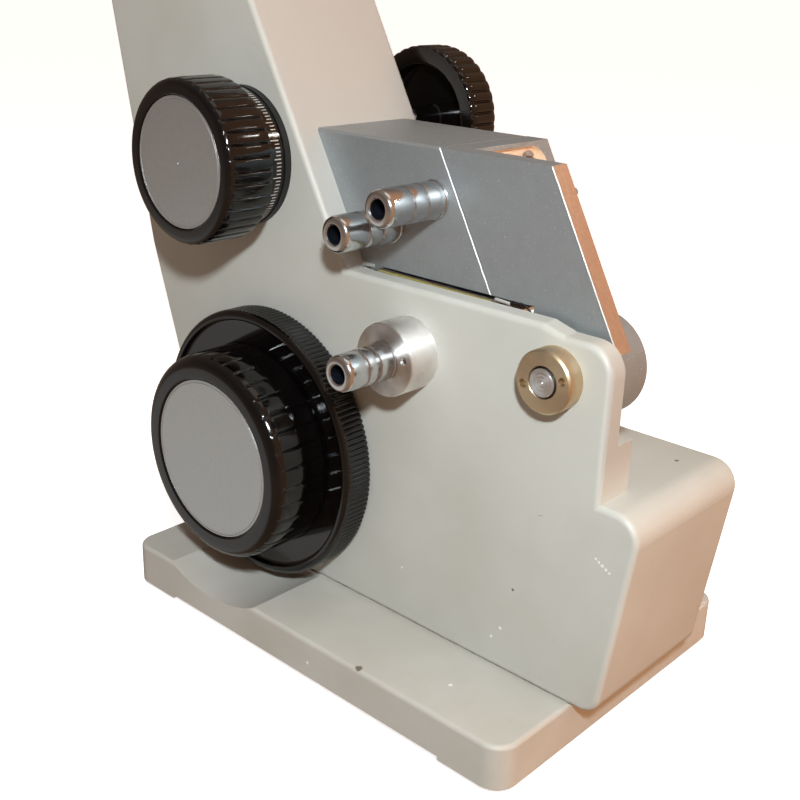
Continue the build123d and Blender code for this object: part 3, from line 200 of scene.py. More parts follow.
for aim, edge, full, shade in patches:
    toward = add(sky, "VectorMath", [(0, looking)], "Value", operation="DOT_PRODUCT", i1=aim)
    share = add(sky, "MapRange", [("Value", toward)], 0, interpolation_type="SMOOTHSTEP",
                From_Min=edge, From_Max=full)
    view = add(sky, "Mix", [(0, share), (6, view)], 2, data_type="RGBA", i7=shade)
sky.links.new(view, sky.nodes["Background"].inputs[0])
scene.world = room
print("room", len(bands), "bands and", len(patches), "patches")

# %% [markdown]
# The case is an aluminium casting with sprayed and baked enamel: satin, a faint orange peel, small
# chips where tools touched it, and a few scratches that show light. The chips and scratches are
# ragged spots, drawn where the picture shows them: the way to a spot's middle is multiplied by a
# fine noise before it is compared with the spot's radius.

# %% Enamel
def spots(tree, at, ragged, places, marks=None):
    """How far a point lies in the nearest of some ragged spots, each (x, y, z, radius) in mm, or in marks."""
    for x, y, z, radius in places:
        centre = (x / 1000, y / 1000, z / 1000)
        away = add(tree, "VectorMath", [(0, at)], "Value", operation="DISTANCE", i1=centre)
        torn = add(tree, "Math", [(0, away), (1, ragged)], 0, operation="MULTIPLY")
        spot = add(tree, "MapRange", [("Value", torn)], 0, From_Min=0.48 * radius / 1000,
                   From_Max=0.56 * radius / 1000, To_Min=1.0, To_Max=0.0)
        marks = spot if marks is None else add(tree, "Math", [(0, marks), (1, spot)], 0, operation="MAXIMUM")
    return marks


def enamel(name, colour, worn, primer, chips, scratched, scratches, painted_shade_forward=None):
    """Baked enamel: mottle over 30 mm, orange peel of 1.4 mm, random specks of about 4 mm, chips
    down to the primer and light scratches. The last colour is a painted shade, fitted to the
    picture: faces that look along +X above 75 mm turn to it, because the flash lights them too
    brightly."""
    made, tree, shader, at = finish(name, colour, roughness=0.42, IOR=1.5)
    mottle = add(tree, "TexNoise", [("Vector", at)], "Fac", Scale=1000 / 30, Detail=4.0)
    share = add(tree, "MapRange", [("Value", mottle)], 0, From_Min=0.35, From_Max=0.65)
    tone = add(tree, "Mix", [(0, share)], 2, data_type="RGBA", i6=srgb(colour), i7=srgb(worn))
    if painted_shade_forward:
        # Painted shade: faces that look along +X above 75 mm turn to the darker last colour.
        along = add(tree, "SeparateXYZ", [(0, add(tree, "NewGeometry", give="Normal"))], "X")
        up = add(tree, "SeparateXYZ", [(0, at)], "Z")
        facing = add(tree, "MapRange", [("Value", along)], 0, From_Min=0.45, From_Max=0.8)
        high = add(tree, "MapRange", [("Value", up)], 0, From_Min=0.070, From_Max=0.080)
        share = add(tree, "Math", [(0, facing), (1, high)], 0, operation="MULTIPLY")
        tone = add(tree, "Mix", [(0, share), (6, tone)], 2, data_type="RGBA", i7=srgb(painted_shade_forward))
    ragged = add(tree, "TexNoise", [("Vector", at)], "Fac", Scale=1000 / 0.7, Detail=5.0, Roughness=0.8)
    coarse = add(tree, "TexNoise", [("Vector", at)], "Fac", Scale=1000 / 4.5, Detail=4.0, Roughness=0.75)
    specks = add(tree, "MapRange", [("Value", coarse)], 0, From_Min=0.735, From_Max=0.75)
    chipped = spots(tree, at, ragged, chips, specks)
    tone = add(tree, "Mix", [(0, chipped), (6, tone)], 2, data_type="RGBA", i7=srgb(primer))
    scored = spots(tree, at, ragged, scratches)
    tone = add(tree, "Mix", [(0, scored), (6, tone)], 2, data_type="RGBA", i7=srgb(scratched))
    orange = add(tree, "TexNoise", [("Vector", at)], "Fac", Scale=1000 / 1.4)
    peel = add(tree, "Math", [(0, orange), (1, chipped)], 0, operation="SUBTRACT")
    bump = add(tree, "Bump", [("Height", peel)], 0, Strength=0.12, Distance=0.25 / 1000)
    feed(tree, shader, Base_Color=tone, Normal=bump)
    return made


primer, bare = "5f5950", "e9e6df"
case_chips = [(67.6, -24, 38.6, 0.35), (88, 12, 68.8, 0.6)]
case_scratch = [(89.8, -24, 56.0, 0.3), (90.7, -24, 55.5, 0.35), (91.7, -24, 54.9, 0.4),
                (92.7, -24, 54.3, 0.35), (93.6, -24, 53.8, 0.3)]
case_dots = [(62.0, -24, 22.9, 0.35), (64.6, -24, 26.4, 0.4), (31, -24, 30, 0.3)]
# The last colour is a painted shade on the case's forward faces above 75 mm.
case_paint = enamel("warm_grey_enamel", "c0bfb7", "b8b6ad", primer, case_chips,
                    bare, case_scratch + case_dots, painted_shade_forward="aaa8a2")
base_chips = [(40, -49, 14.6, 0.9), (-20, -46, 14.6, 0.8)]
base_scratches = [(22, -50, 8, 0.5), (61, -38, 14.6, 0.5)]
base_paint = enamel("base_enamel", "c2bfb7", "b7b3a9", "6f675a", base_chips, bare, base_scratches)
print("enamels", case_paint.name, base_paint.name)

# %% [markdown]
# Most other finishes differ only in colour, gloss and the size of their grain, so one function
# makes them: its tone and its height vary a little over grains of a real size. The prism blocks
# are sprayed with a silver hammer paint, which has soft cells and bright flakes.

# %% Moulded, plated and sprayed finishes
def speckled(name, colour, metallic, roughness, fine, depth, spread=0.12):
    """Tone varies by the share spread, and height by depth mm, over grains of fine mm."""
    made, tree, shader, at = finish(name, colour, metallic, roughness)
    grain = add(tree, "TexNoise", [("Vector", at)], "Fac", Scale=1000.0 / fine, Detail=3.0)
    light = add(tree, "MapRange", [("Value", grain)], 0, From_Min=0.3, From_Max=0.7,
                To_Min=1 - spread, To_Max=1 + spread)
    tone = add(tree, "VectorMath", [("Scale", light)], 0, operation="SCALE", i0=srgb(colour)[:3])
    bump = add(tree, "Bump", [("Height", grain)], 0, Strength=0.3, Distance=depth / 1000)
    feed(tree, shader, Base_Color=tone, Normal=bump)
    return made


def hammered(name, colour, cell, flake):
    """Silver hammer paint: 2.5 mm soft cells, and 0.55 mm flakes, drawn coarse enough to show."""
    made, tree, shader, at = finish(name, colour, 0.75, 0.52)
    cells = add(tree, "TexNoise", [("Vector", at)], "Fac", Scale=1000 / 2.5)
    fine = add(tree, "TexNoise", [("Vector", at)], "Fac", Scale=1000 / 0.55)
    sparkle = add(tree, "MapRange", [("Value", fine)], 0, From_Min=0.64, From_Max=0.74)
    tone = add(tree, "Mix", [(0, cells)], 2, data_type="RGBA", i6=srgb(colour), i7=srgb(cell))
    tone = add(tree, "Mix", [(0, sparkle), (6, tone)], 2, data_type="RGBA", i7=srgb(flake))
    gloss = add(tree, "MapRange", [("Value", sparkle)], 0, To_Min=0.54, To_Max=0.35)
    bump = add(tree, "Bump", [("Height", cells)], 0, Strength=0.25, Distance=0.05 / 1000)
    feed(tree, shader, Base_Color=tone, Roughness=gloss, Normal=bump)
    return made


block_paint = hammered("silver_hammer_paint", "9fa3a4", "a9aeb0", "cdd0d1")
# Phenolic is moulded against polished steel: black, glossy, with soft waves of 6 mm.
phenolic = speckled("polished_black_phenolic", "080606", 0.0, 0.11, 6.0, 0.02, 0.3)
print_white = speckled("white_paint_fill", "aca7a0", 0.0, 0.5, 0.5, 0.01, 0.06)
black_lacquer = speckled("black_lacquer", "121212", 0.0, 0.5, 0.8, 0.1)
rubber_black = speckled("moulded_rubber", "1a1a1a", 0.0, 0.75, 1.0, 0.2)
felt = speckled("olive_felt", "8f8449", 0.0, 0.9, 0.4, 0.2, 0.2)
# Anodising leaves a fine satin, plating a bright skin, and a cutter left as milled a half gloss.
cap_metal = speckled("satin_anodised_cap", "bfc2c3", 0.9, 0.36, 0.5, 0.02, 0.05)
chrome = speckled("chrome_plate", "c9c9ca", 1.0, 0.19, 5.0, 0.01, 0.04)
machined = speckled("bare_milled_edge", "dcdcda", 0.6, 0.35, 0.8, 0.01, 0.03)
# These two face the warm wall, and their tan is a painted reflection of it, so that they match the picture.
milled_end_painted_reflection = speckled("milled_wall_end_painted_reflection", "c9a88e", 0.75, 0.4, 0.9, 0.02, 0.08)
milled_painted_reflection = speckled("satin_milled_aluminium_painted_reflection", "f0d9c0", 0.6, 0.36, 0.6, 0.01, 0.05)
steel = speckled("ground_steel", "a5a4a2", 1.0, 0.3, 0.7, 0.05)
brass = speckled("brass", "a8874a", 1.0, 0.32, 0.8, 0.05)
silvering = speckled("silvered_mirror", "e8e8e8", 1.0, 0.05, 20.0, 0.002, 0.02)
# A painted shade: a near-black lining that darkens the inside of the hose tails' bores.
painted_shade_bore = speckled("bore_painted_shade", "171a24", 0.6, 0.5, 1.0, 0.02)
print("finishes", len(bpy.data.materials))

# %% [markdown]
# Metal off the lathe carries fine rings about the axis it turned on. They spread a glint across
# themselves, so a flat end shows two bright sectors, like a bow tie, and a side shows a soft band.
# The shader does that with a tangent along the rings; on a side the effect is weaker.

# %% Turned metals and glass
Y_AXIS = 1
boss_at, hinge_at = (31.2, 0, 90.8), (74.7, 0, 95.6)


def turned_metal(name, colour, roughness, about, streak, pitch=0.35, depth=0.02):
    """Bare metal with rings about the Y line through about: height is sin(2 pi * radius / pitch), in
    mm. The pitch is coarser than the real feed, so that it shows. Streak is the share of the glint
    that is spread across the rings on a flat end, and 0.6 of it is on a side."""
    made, tree, shader, at = finish(name, colour, 1.0, roughness, Anisotropic_Rotation=0.25)
    centred = add(tree, "Mapping", [("Vector", at)], 0, Location=[-c / 1000 for c in about])
    outward = add(tree, "VectorMath", [(0, centred)], 0, operation="MULTIPLY", i1=(1.0, 0.0, 1.0))
    far = add(tree, "VectorMath", [(0, outward)], "Value", operation="LENGTH")
    turns = add(tree, "Math", [(0, far)], 0, operation="MULTIPLY", i1=2000 * np.pi / pitch)
    rings = add(tree, "Math", [(0, turns)], 0, operation="SINE")
    along = add(tree, "VectorMath", [(1, outward)], 0, operation="CROSS_PRODUCT", i0=(0.0, 1.0, 0.0))
    tangent = add(tree, "VectorMath", [(0, along)], 0, operation="NORMALIZE")
    facing = add(tree, "SeparateXYZ", [(0, add(tree, "NewGeometry", give="Normal"))], Y_AXIS)
    flatness = add(tree, "Math", [(0, facing)], 0, operation="ABSOLUTE")
    spread = add(tree, "MapRange", [("Value", flatness)], 0, From_Min=0.2, From_Max=0.8,
                 To_Min=0.6 * streak, To_Max=streak)
    worn = add(tree, "TexNoise", [("Vector", at)], "Fac", Scale=1000 / 6.0, Detail=3.0)
    dull = add(tree, "MapRange", [("Value", worn)], 0, From_Min=0.35, From_Max=0.75, To_Max=0.4)
    tone = add(tree, "Mix", [(0, dull)], 2, data_type="RGBA", i6=srgb(colour), i7=srgb("8d8a84"))
    gloss = add(tree, "MapRange", [("Value", worn)], 0, From_Min=0.3, From_Max=0.7,
                To_Min=roughness * 0.85, To_Max=roughness * 1.2)
    bump = add(tree, "Bump", [("Height", rings)], 0, Strength=0.35, Distance=depth / 1000)
    feed(tree, shader, Base_Color=tone, Roughness=gloss, Anisotropic=spread, Tangent=tangent, Normal=bump)
    return made


alloy = turned_metal("turned_aluminium", "fafaf8", 0.5, boss_at, 0.96)
# The nut's warm tone is partly old nickel's own yellowing and partly a painted reflection of the warm wall.
nickel_and_painted_reflection = turned_metal("old_nickel_plate_and_painted_reflection", "dcc6a4", 0.42, hinge_at, 0.3)
pin_steel = turned_metal("turned_steel", "e9ebee", 0.36, hinge_at, 0.6, 0.9, 0.05)
# Optical glass is ground and polished: clear, a shade green, with a last trace of waves of 3 mm.
glass, glass_tree, glass_shader, at = finish("optical_glass", "f2fafa", roughness=0.02, IOR=1.6,
                                             Transmission_Weight=1.0)
figure = add(glass_tree, "TexNoise", [("Vector", at)], "Fac", Scale=1000 / 3.0)
bump = add(glass_tree, "Bump", [("Height", figure)], 0, Strength=0.05, Distance=2e-6)
feed(glass_tree, glass_shader, Normal=bump)
print("finishes", len(bpy.data.materials))

# %% [markdown]
# Every turned piece is one idea: a profile in radius and place along the axis, carried round that
# axis. A third number in a row says how much of the flutes that row has, so that a knob's smooth
# bezel and its fluted side are one surface. The flutes are narrow valleys with wide, slightly
# crowned lands between them. This was chosen over cutting grooves because the edges stay soft.

# %% Turned surfaces
# Where one flute's points lie, as shares of its pitch from the valley: close together near it.
WIDE_LAND = [0, 0.02, 0.04, 0.06, 0.09, 0.14, 0.25, 0.5, 0.75, 0.86, 0.91, 0.94, 0.96, 0.98]
FINE_LAND = [0, 0.18, 0.36, 0.5, 0.64, 0.82]


def arc(radius, place, bend, start, end, share=0, steps=6):
    """Rows along an arc of radius bend about (radius, place), from one angle to another, in degrees."""
    turn = np.radians(np.linspace(start, end, steps))
    return [(radius + bend * c, place + bend * s, share) for c, s in zip(np.cos(turn), np.sin(turn))]


def bezel(radius, place, bend):
    """A quarter round from a knob's face to its side. The flutes deepen from nothing at 40 degrees
    to full at the side."""
    rows = arc(radius, place, bend, -90, 0, steps=10)[1:]
    return [(r, y, max(0.0, (step - 3) / 5)) for step, (r, y, _) in enumerate(rows)]


def turned(rows, about, axis=(0, 1, 0), across=(1, 0, 0), count=128,
           flutes=0, depth=0.0, width=0.4, crown=0.0):
    """Points and faces of a profile carried round an axis, in millimetres.
    A point is about + place * axis + radius * (cos(turn) * across + sin(turn) * side). On a fluted
    row the radius loses depth * exp(-(way to the valley / width)^2) + crown * (2 * part of the
    land - 1)^2, times the row's share."""
    rows = np.array([tuple(row) + (0,) * (3 - len(row)) for row in rows], float)
    axis, across = np.array(axis, float), np.array(across, float)
    side = np.cross(axis, across)
    if flutes:
        land = np.array(WIDE_LAND if flutes < 60 else FINE_LAND)
        turn = 2 * np.pi * (np.arange(flutes)[:, None] + land).ravel() / flutes
        pitch = 2 * np.pi * rows[:, 0].max() / flutes
        valley = np.exp(-((pitch * np.minimum(land, 1 - land)) / width) ** 2)
        dip = np.tile(depth * valley + crown * (2 * land - 1) ** 2, flutes)
    else:
        turn, dip = np.linspace(0, 2 * np.pi, count, endpoint=False), np.zeros(count)
    radius = rows[:, 0:1] - rows[:, 2:3] * dip
    round_it = np.cos(turn)[:, None] * across + np.sin(turn)[:, None] * side
    points = np.array(about, float) + rows[:, 1, None, None] * axis + radius[..., None] * round_it
    index = np.arange(points.shape[0] * points.shape[1]).reshape(points.shape[:2])
    lower = index if rows[0, 0] > 0 else index[:-1]
    upper = np.roll(index, -1, 0)[: len(lower)]
    faces = np.stack([lower, np.roll(lower, -1, 1), np.roll(upper, -1, 1), upper], -1)
    return points.reshape(-1, 3), faces.reshape(-1, 4)


# %% [markdown]
# One more function turns such surfaces into an object: it merges doubles, so that poles and seams
# are closed, points the faces outwards, hangs the piece on the body it rides on, hides the solid
# it stands for and gives it its finish.

# %% Pieces
def piece(name, surfaces, material, body, node=None, smooth=32):
    """One object in metres from several (points, faces) in mm, soft below the angle smooth."""
    points = np.concatenate([p for p, f in surfaces]) / 1000
    starts = np.cumsum([0] + [len(p) for p, f in surfaces[:-1]])
    faces = []
    for start, (p, f) in zip(starts, surfaces):
        rows = f.tolist() if isinstance(f, np.ndarray) else f
        faces += [[corner + int(start) for corner in row] for row in rows]
    mesh = bpy.data.meshes.new(name)
    mesh.from_pydata(points, [], faces)
    work = bmesh.new()
    work.from_mesh(mesh)
    bmesh.ops.remove_doubles(work, verts=work.verts, dist=1e-7)
    bmesh.ops.recalc_face_normals(work, faces=work.faces)
    work.to_mesh(mesh)
    work.free()
    mesh.shade_smooth()
    mesh.set_sharp_from_angle(angle=np.radians(smooth))
    mesh.materials.append(material)
    made = bpy.data.objects.new(name, mesh)
    scene.collection.objects.link(made)
    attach(made, body)
    if node:
        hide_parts(node)
    print(name, len(mesh.polygons), "faces")
    return made


# %% [markdown]
# The dispersion knob: a black moulding with forty flutes. Its front has a rounded bezel round a
# flat cap, and the flutes deepen over the bezel, so that each land starts with a small glint.

# %% Dispersion knob
dispersion_at = (-30.9, 0, 131.3)
knob_rows = ([(3.02, -45), (17.1, -45), (17.1, -46.3), (17.4, -46.6), (19.2, -46.6)]
             + bezel(19.2, -44.5, 2.1)
             + [(21.4, place, 1) for place in np.linspace(-43.0, -33.4, 4)]
             + [(21.2, -32.6, 1), (20.7, -32.2, 0.4), (15.8, -32.2), (15.8, -42.1)]
             + [(6, -42.1), (6, -32.2), (3.02, -32.2)])
piece("dispersion_grip", [turned(knob_rows, dispersion_at, flutes=40, depth=0.42, width=0.26, crown=0.07)],
      phenolic, "dispersion", "dispersion_knob")

# %% [markdown]
# Behind it a plain black ring carries the drum scale: 120 divisions round the ring, numbered from
# 0 to 50 twice over, in white paint. Each tick is a thin bar bent on the ring. The numbers are text
# made into a mesh, and every point's way along the line becomes an angle round the ring.

# %% Paint on a ring
PAINT = 0.05  # mm that the paint stands proud of the ring, and reaches into it


def bars_on_ring(turns, near, far, width, about, radius):
    """Thin bars along Y on a ring: eight corners from two radii, two places and two angles each."""
    half = width / 2 / radius
    turn = turns[:, None, None, None] + np.array([-half, half])[None, :, None, None]
    reach = np.array([radius - PAINT, radius + PAINT])[None, None, :, None]
    y = np.stack([near, far], -1)[:, None, None, :]
    x = about[0] + reach * np.cos(turn) + 0 * y
    z = about[2] + reach * np.sin(turn) + 0 * y
    points = np.stack([x, y + 0 * x, z], -1).reshape(-1, 3)
    corner = np.array([[0, 1, 3, 2], [4, 6, 7, 5], [0, 4, 5, 1], [2, 3, 7, 6], [0, 2, 6, 4], [1, 5, 7, 3]])
    return points, (8 * np.arange(len(turns))[:, None, None] + corner).reshape(-1, 4)


def number_on_ring(text, turn, low, high, about, radius):
    """A number on a ring, its foot at place low and its head at place high along Y."""
    line = bpy.data.curves.new("number", "FONT")
    line.body, line.align_x, line.extrude, line.resolution_u = text, "CENTER", 0.5, 3
    holder = bpy.data.objects.new("number", line)
    mesh = bpy.data.meshes.new_from_object(holder)
    flat = np.array([v.co for v in mesh.vertices])
    faces = [list(p.vertices) for p in mesh.polygons]
    size = (high - low) / np.ptp(flat[:, 1])
    along = turn - flat[:, 0] * size / radius
    reach = radius + np.where(flat[:, 2] > 0, PAINT, -PAINT)
    y = low + (flat[:, 1] - flat[:, 1].min()) * size
    bpy.data.objects.remove(holder)
    bpy.data.curves.remove(line)
    bpy.data.meshes.remove(mesh)
    return np.stack([about[0] + reach * np.cos(along), y, about[2] + reach * np.sin(along)], -1), faces


# %% Drum scale
ring_radius, divisions = 18.3, 120
division = np.arange(divisions)
ticks_from = np.where(division % 10 == 0, -29.9, np.where(division % 5 == 0, -29.5, -28.8))
turn_of = 2 * np.pi / divisions * division + 0.35
marks = [bars_on_ring(turn_of, ticks_from, np.full(divisions, -27.3), 0.27, dispersion_at, ring_radius)]
marks += [number_on_ring(str(ten % 6 * 10), turn_of[ten * 10], -31.9, -30.3, dispersion_at, ring_radius)
          for ten in range(divisions // 10)]
piece("drum_scale_marks", marks, print_white, "dispersion", None, smooth=20)
ring_rows = [(6.1, -32.2), (18.0, -32.2), (18.3, -31.95), (18.3, -26.55), (18.0, -26.3), (6.1, -26.3)]
piece("drum_scale_ring", [turned(ring_rows, dispersion_at, count=180)],
      phenolic, "dispersion", "dispersion_scale")

# %% [markdown]
# The large adjusting knob is made the same way, with thirty-six flutes and a broader bezel. It
# stands on a wide dished flange whose rim carries fine serrations for the slow adjustment.

# %% Adjusting knob and its flange
adjusting_at = (-18.7, 0, 53.0)
knob_rows = ([(3.02, -47.4), (22.5, -47.4), (22.5, -48.6), (22.9, -49.0), (25.3, -49.0)]
             + bezel(25.3, -45.4, 3.6)
             + [(29.1, place, 1) for place in np.linspace(-43.5, -34.0, 4)]
             + [(29.1, -33.2, 1), (28.7, -32.55, 0.6), (24.0, -32.5), (24.0, -44.5)]
             + [(6.0, -44.5), (6.0, -32.5), (3.02, -32.5)])
piece("adjusting_grip", [turned(knob_rows, adjusting_at, flutes=36, depth=0.4, width=0.3, crown=0.06)],
      phenolic, "adjusting", "adjusting_knob")
flange_rows = ([(3.02, -32.5), (35.0, -32.5)] + arc(35.0, -33.5, 1.0, 90, 0, 0, 5)[1:-1]
               + [(36.05, -33.7), (36.3, -34.0), (36.9, -34.0)]
               + arc(36.9, -32.4, 1.6, -90, 0, 0, 6)[1:-1] + [(38.5, -32.3, 1)]
               + [(38.5, place, 1) for place in np.linspace(-31.0, -25.9, 4)]
               + [(38.3, -25.2, 1), (37.7, -24.75, 0.5), (37.0, -24.7), (35.0, -24.7), (35.0, -30.0)]
               + [(6.0, -30.0), (6.0, -24.7), (3.02, -24.7)])
piece("adjusting_dish", [turned(flange_rows, adjusting_at, flutes=160, depth=0.4, width=0.35, crown=0.06)],
      phenolic, "adjusting", "adjusting_flange")

# %% [markdown]
# Both caps are thin anodised discs let into the knobs. A shallow step near the rim catches a
# bright line, and the lathe's centre left a small dot.

# %% Knob caps
def cap_rows(radius, front, behind):
    """From the middle out: a dot, the flat face, a step near the rim, a bevel, and back along the rear."""
    dot = [(0, front + 0.12), (0.22, front + 0.12), (0.34, front), (radius - 1.0, front)]
    step = [(radius - 0.85, front + 0.12), (radius - 0.65, front + 0.12), (radius - 0.5, front - 0.02)]
    bevel = [(radius - 0.2, front - 0.02), (radius, front + 0.22), (radius, behind), (0, behind)]
    return dot + step + bevel


piece("dispersion_face", [turned(cap_rows(17.0, -46.2, -45.0), dispersion_at, count=160)],
      cap_metal, "dispersion", "dispersion_cap")
piece("adjusting_face", [turned(cap_rows(22.4, -48.6, -47.4), adjusting_at, count=180)],
      cap_metal, "adjusting", "adjusting_cap")

# %% [markdown]
# The lock wheel on the far side is seen from its hollow side: a glossy rim, a deep pocket and the
# hub in its middle.

# %% Lock wheel
lock_at = (-14.487, 0, 139.3)
hub = [(0, 36.4), (2.95, 36.4), (2.95, 22.8), (3.25, 22.8), (3.4, 23.0), (3.4, 32.6), (3.9, 33.0),
       (14.2, 33.0)]
wheel_rows = (hub + arc(14.2, 32.2, 0.8, 90, 0, 0, 5)[1:] + [(15.0, 28.3)]
              + arc(15.8, 28.3, 0.8, 180, 270, 0, 5)[1:]
              + [(19.0, 27.5), (19.5, 27.6), (19.9, 27.9, 0.5), (20.2, 28.5, 1)]
              + [(20.2, place, 1) for place in np.linspace(30.5, 35.5, 3)]
              + [(20.2, 36.8, 1), (20.0, 37.5, 0.7), (19.4, 38.0), (18.3, 38.0)]
              + [(17.5, 37.6), (17.2, 37.1), (0, 37.1)])
piece("lock_grip", [turned(wheel_rows, lock_at, flutes=40, depth=0.55, width=0.45, crown=0.14)],
      phenolic, "lock", "lock_wheel")

# %% [markdown]
# The hose tails are chrome plated brass: a rounded nose round a bore, two narrow grooves that
# hold the hose, and a thin collar where they screw into the metal. Each bore is lined with a thin
# dark tube, a painted shade.

# %% Hose tails
def tail_rows(length):
    """From the thread behind the face out to the nose and back down the bore; place 0 is the face."""
    rows = [(2.4, -4.3), (2.9, -4.3), (2.9, 0.0)]
    rows += [(4.7, 0.0), (4.85, 0.15), (4.85, 0.7), (4.7, 0.85), (4.6, 0.9)]
    for share in (0.335, 0.585):
        groove = share * length
        rows += [(4.6, groove - 0.4), (4.57, groove - 0.3), (4.25, groove - 0.05)]
        rows += [(4.25, groove + 0.05), (4.55, groove + 0.2), (4.6, groove + 0.3)]
    nose = arc(3.1, length - 1.5, 1.5, 0, 90, 0, 9)[1:]
    return rows + [(4.6, length - 1.9)] + nose + [(2.75, length), (2.4, length - 0.3)]


def bore_rows(length):
    """A thin tube 8 mm deep, closed at its foot: a lining that carries the painted shade inside a tail's
    bore.
    """
    inside = [(0, length - 8.0), (2.28, length - 8.0), (2.28, length - 0.5)]
    return inside + [(2.38, length - 0.45), (2.38, length - 8.1), (0, length - 8.1)]


tails, bores = [], []
for (x, face, z), length, way in (((30.5, -16.5, 127.8), 20.0, -1), ((16.2, -16.5, 119.4), 20.0, -1),
                                  ((31.2, -33.6, 90.8), 15.8, -1), ((27.0, 17.8, 115.0), 19.0, 1)):
    tails.append(turned(tail_rows(length), (x, face, z), axis=(0, way, 0), count=96))
    bores.append(turned(bore_rows(length), (x, face, z), axis=(0, way, 0), count=48))
piece("hose_tails", tails, chrome, "stand", "hose_nozzles")
# The dark linings are painted shade inside the bores.
piece("hose_bores", bores, painted_shade_bore, "stand", None)

# %% [markdown]
# The boss under the lower tail and the ring nut on the hinge pin are turned from bar. Their faces
# are finely stepped grids, so that a round hole can be sunk into them by moving points: one hole
# for the screw that locks the boss, and two for the pins of the spanner that turns the nut.

# %% Boss, nut and pin
def sunk(surface, y, holes, radius, deep):
    """The surface with round holes in its face at y: a point sinks by deep * (radius - way to the
    middle) / 0.12, kept between 0 and deep."""
    points, faces = surface
    for x, z in holes:
        away = np.hypot(points[:, 0] - x, points[:, 2] - z)
        sink = deep * np.clip((radius - away) / 0.12, 0, 1)
        points[:, 1] += np.where(abs(points[:, 1] - y) < 0.01, sink, 0)
    return points, faces


boss_face, nut_face, hole_radius = -33.6, -28.9, 0.95
boss_rows = ([(4.3, -24.0), (4.3, boss_face)] + [(r, boss_face) for r in np.linspace(4.6, 8.9, 36)]
             + [(9.0, -33.6), (9.2, -33.4), (9.25, -33.2), (9.25, -24.0)])
boss_hole = (boss_at[0] + 6.5, boss_at[2] + 1.3)
boss = sunk(turned(boss_rows, boss_at, count=320), boss_face, [boss_hole], hole_radius, 1.3)
piece("hose_boss", [boss], alloy, "stand", "nozzle_boss")
screw_rows = [(0, -33.15), (0.45, -33.15), (0.6, -33.0), (0.6, -31.8), (0, -31.8)]
screw = turned(screw_rows, (boss_hole[0], 0, boss_hole[1]), count=24)
piece("boss_screw", [screw], steel, "stand", None)
lean, spanner = np.radians(16), 5.4  # how the spanner's two holes stand, and their way from the axis
nut_holes = [(hinge_at[0] + way * spanner * np.cos(lean), hinge_at[2] + way * spanner * np.sin(lean))
             for way in (-1, 1)]
nut_rows = ([(3.75, -24.0), (3.75, -28.75), (3.9, nut_face)]
            + [(r, nut_face) for r in np.linspace(4.0, 6.85, 25)]
            + [(6.95, -28.9), (7.4, -28.5), (7.5, -28.3), (7.5, -24.0)])
nut = sunk(turned(nut_rows, hinge_at, count=240), nut_face, nut_holes, hole_radius, 1.6)
# The nut's warm tone is partly old nickel and partly a painted reflection of the warm wall.
piece("ring_nut", [nut], nickel_and_painted_reflection, "stand", "hinge_nut")
end_rows = [(0, -29.42), (0.2, -29.4), (0.35, -29.25), (2.4, -29.25), (2.9, -29.15), (3.25, -28.8),
            (3.3, -28.5), (3.3, -28.0), (0, -28.0)]
piece("hinge_pin_end", [turned(end_rows, hinge_at, count=96)], pin_steel, "stand", None)

# %% [markdown]
# The eyepiece end stands above the picture's frame, but other views show it: a fluted ring that
# focuses, and a soft rubber cup for the eye with a rolled rim.

# %% Focusing ring and eyecup
tilt = np.arctan(0.5516)
line_up, line_out = (-np.sin(tilt), 0, np.cos(tilt)), (np.cos(tilt), 0, np.sin(tilt))
focus_rows = ([(12.6, 86.0), (14.0, 86.0), (14.5, 86.3, 0.4), (14.8, 86.9, 1)]
              + [(14.8, place, 1) for place in np.linspace(89.0, 98.5, 4)]
              + [(14.8, 99.9, 1), (14.4, 100.7, 0.4), (13.8, 101.0)]
              + [(11.3, 101.0), (11.3, 97.35), (12.6, 97.35)])
focus = turned(focus_rows, dispersion_at, line_up, line_out, flutes=36, depth=0.5, width=0.4, crown=0.1)
piece("focus_grip", [focus], phenolic, "diopter", "diopter_ring")
cup_rows = ([(13.0, 104.0), (14.0, 104.0), (14.5, 104.4), (14.5, 106.6), (14.1, 107.1), (14.5, 107.6)]
            + [(14.5, 111.8)] + arc(12.2, 113.8, 2.3, 0, 90, 0, 8)[1:]
            + [(10.2, 116.1), (9.6, 115.8), (9.5, 115.0), (9.8, 114.1)]
            + [(13.0, 114.0), (13.0, 109.0), (6.0, 109.0), (6.0, 107.0), (13.0, 107.0)])
piece("eye_rest", [turned(cup_rows, dispersion_at, line_up, line_out, count=120)],
      rubber_black, "eyepiece", "eyecup")

# %% [markdown]
# Where the two prism blocks meet, and down the front edge of the near wall, the paint was milled
# off at a slant, and the bare corner shows as a thin white line. Each is a half round bead on the
# side, because a round always has one place that throws the flash back. The near wall's front
# end was milled flat: a thin plate of bare metal, whose warm tan is a painted reflection of the
# room's warm wall.

# %% Places on the blocks, beads and plates
def place_uv(u, v):
    """The (x, z) of a point u up the telescope line and v out from it."""
    return tuple(dispersion_at[i] + line_up[i] * u + line_out[i] * v for i in (0, 2))


def up_at(z, v):
    """The u at which the line v reaches the height z."""
    return (z - dispersion_at[2] - line_out[2] * v) / line_up[2]


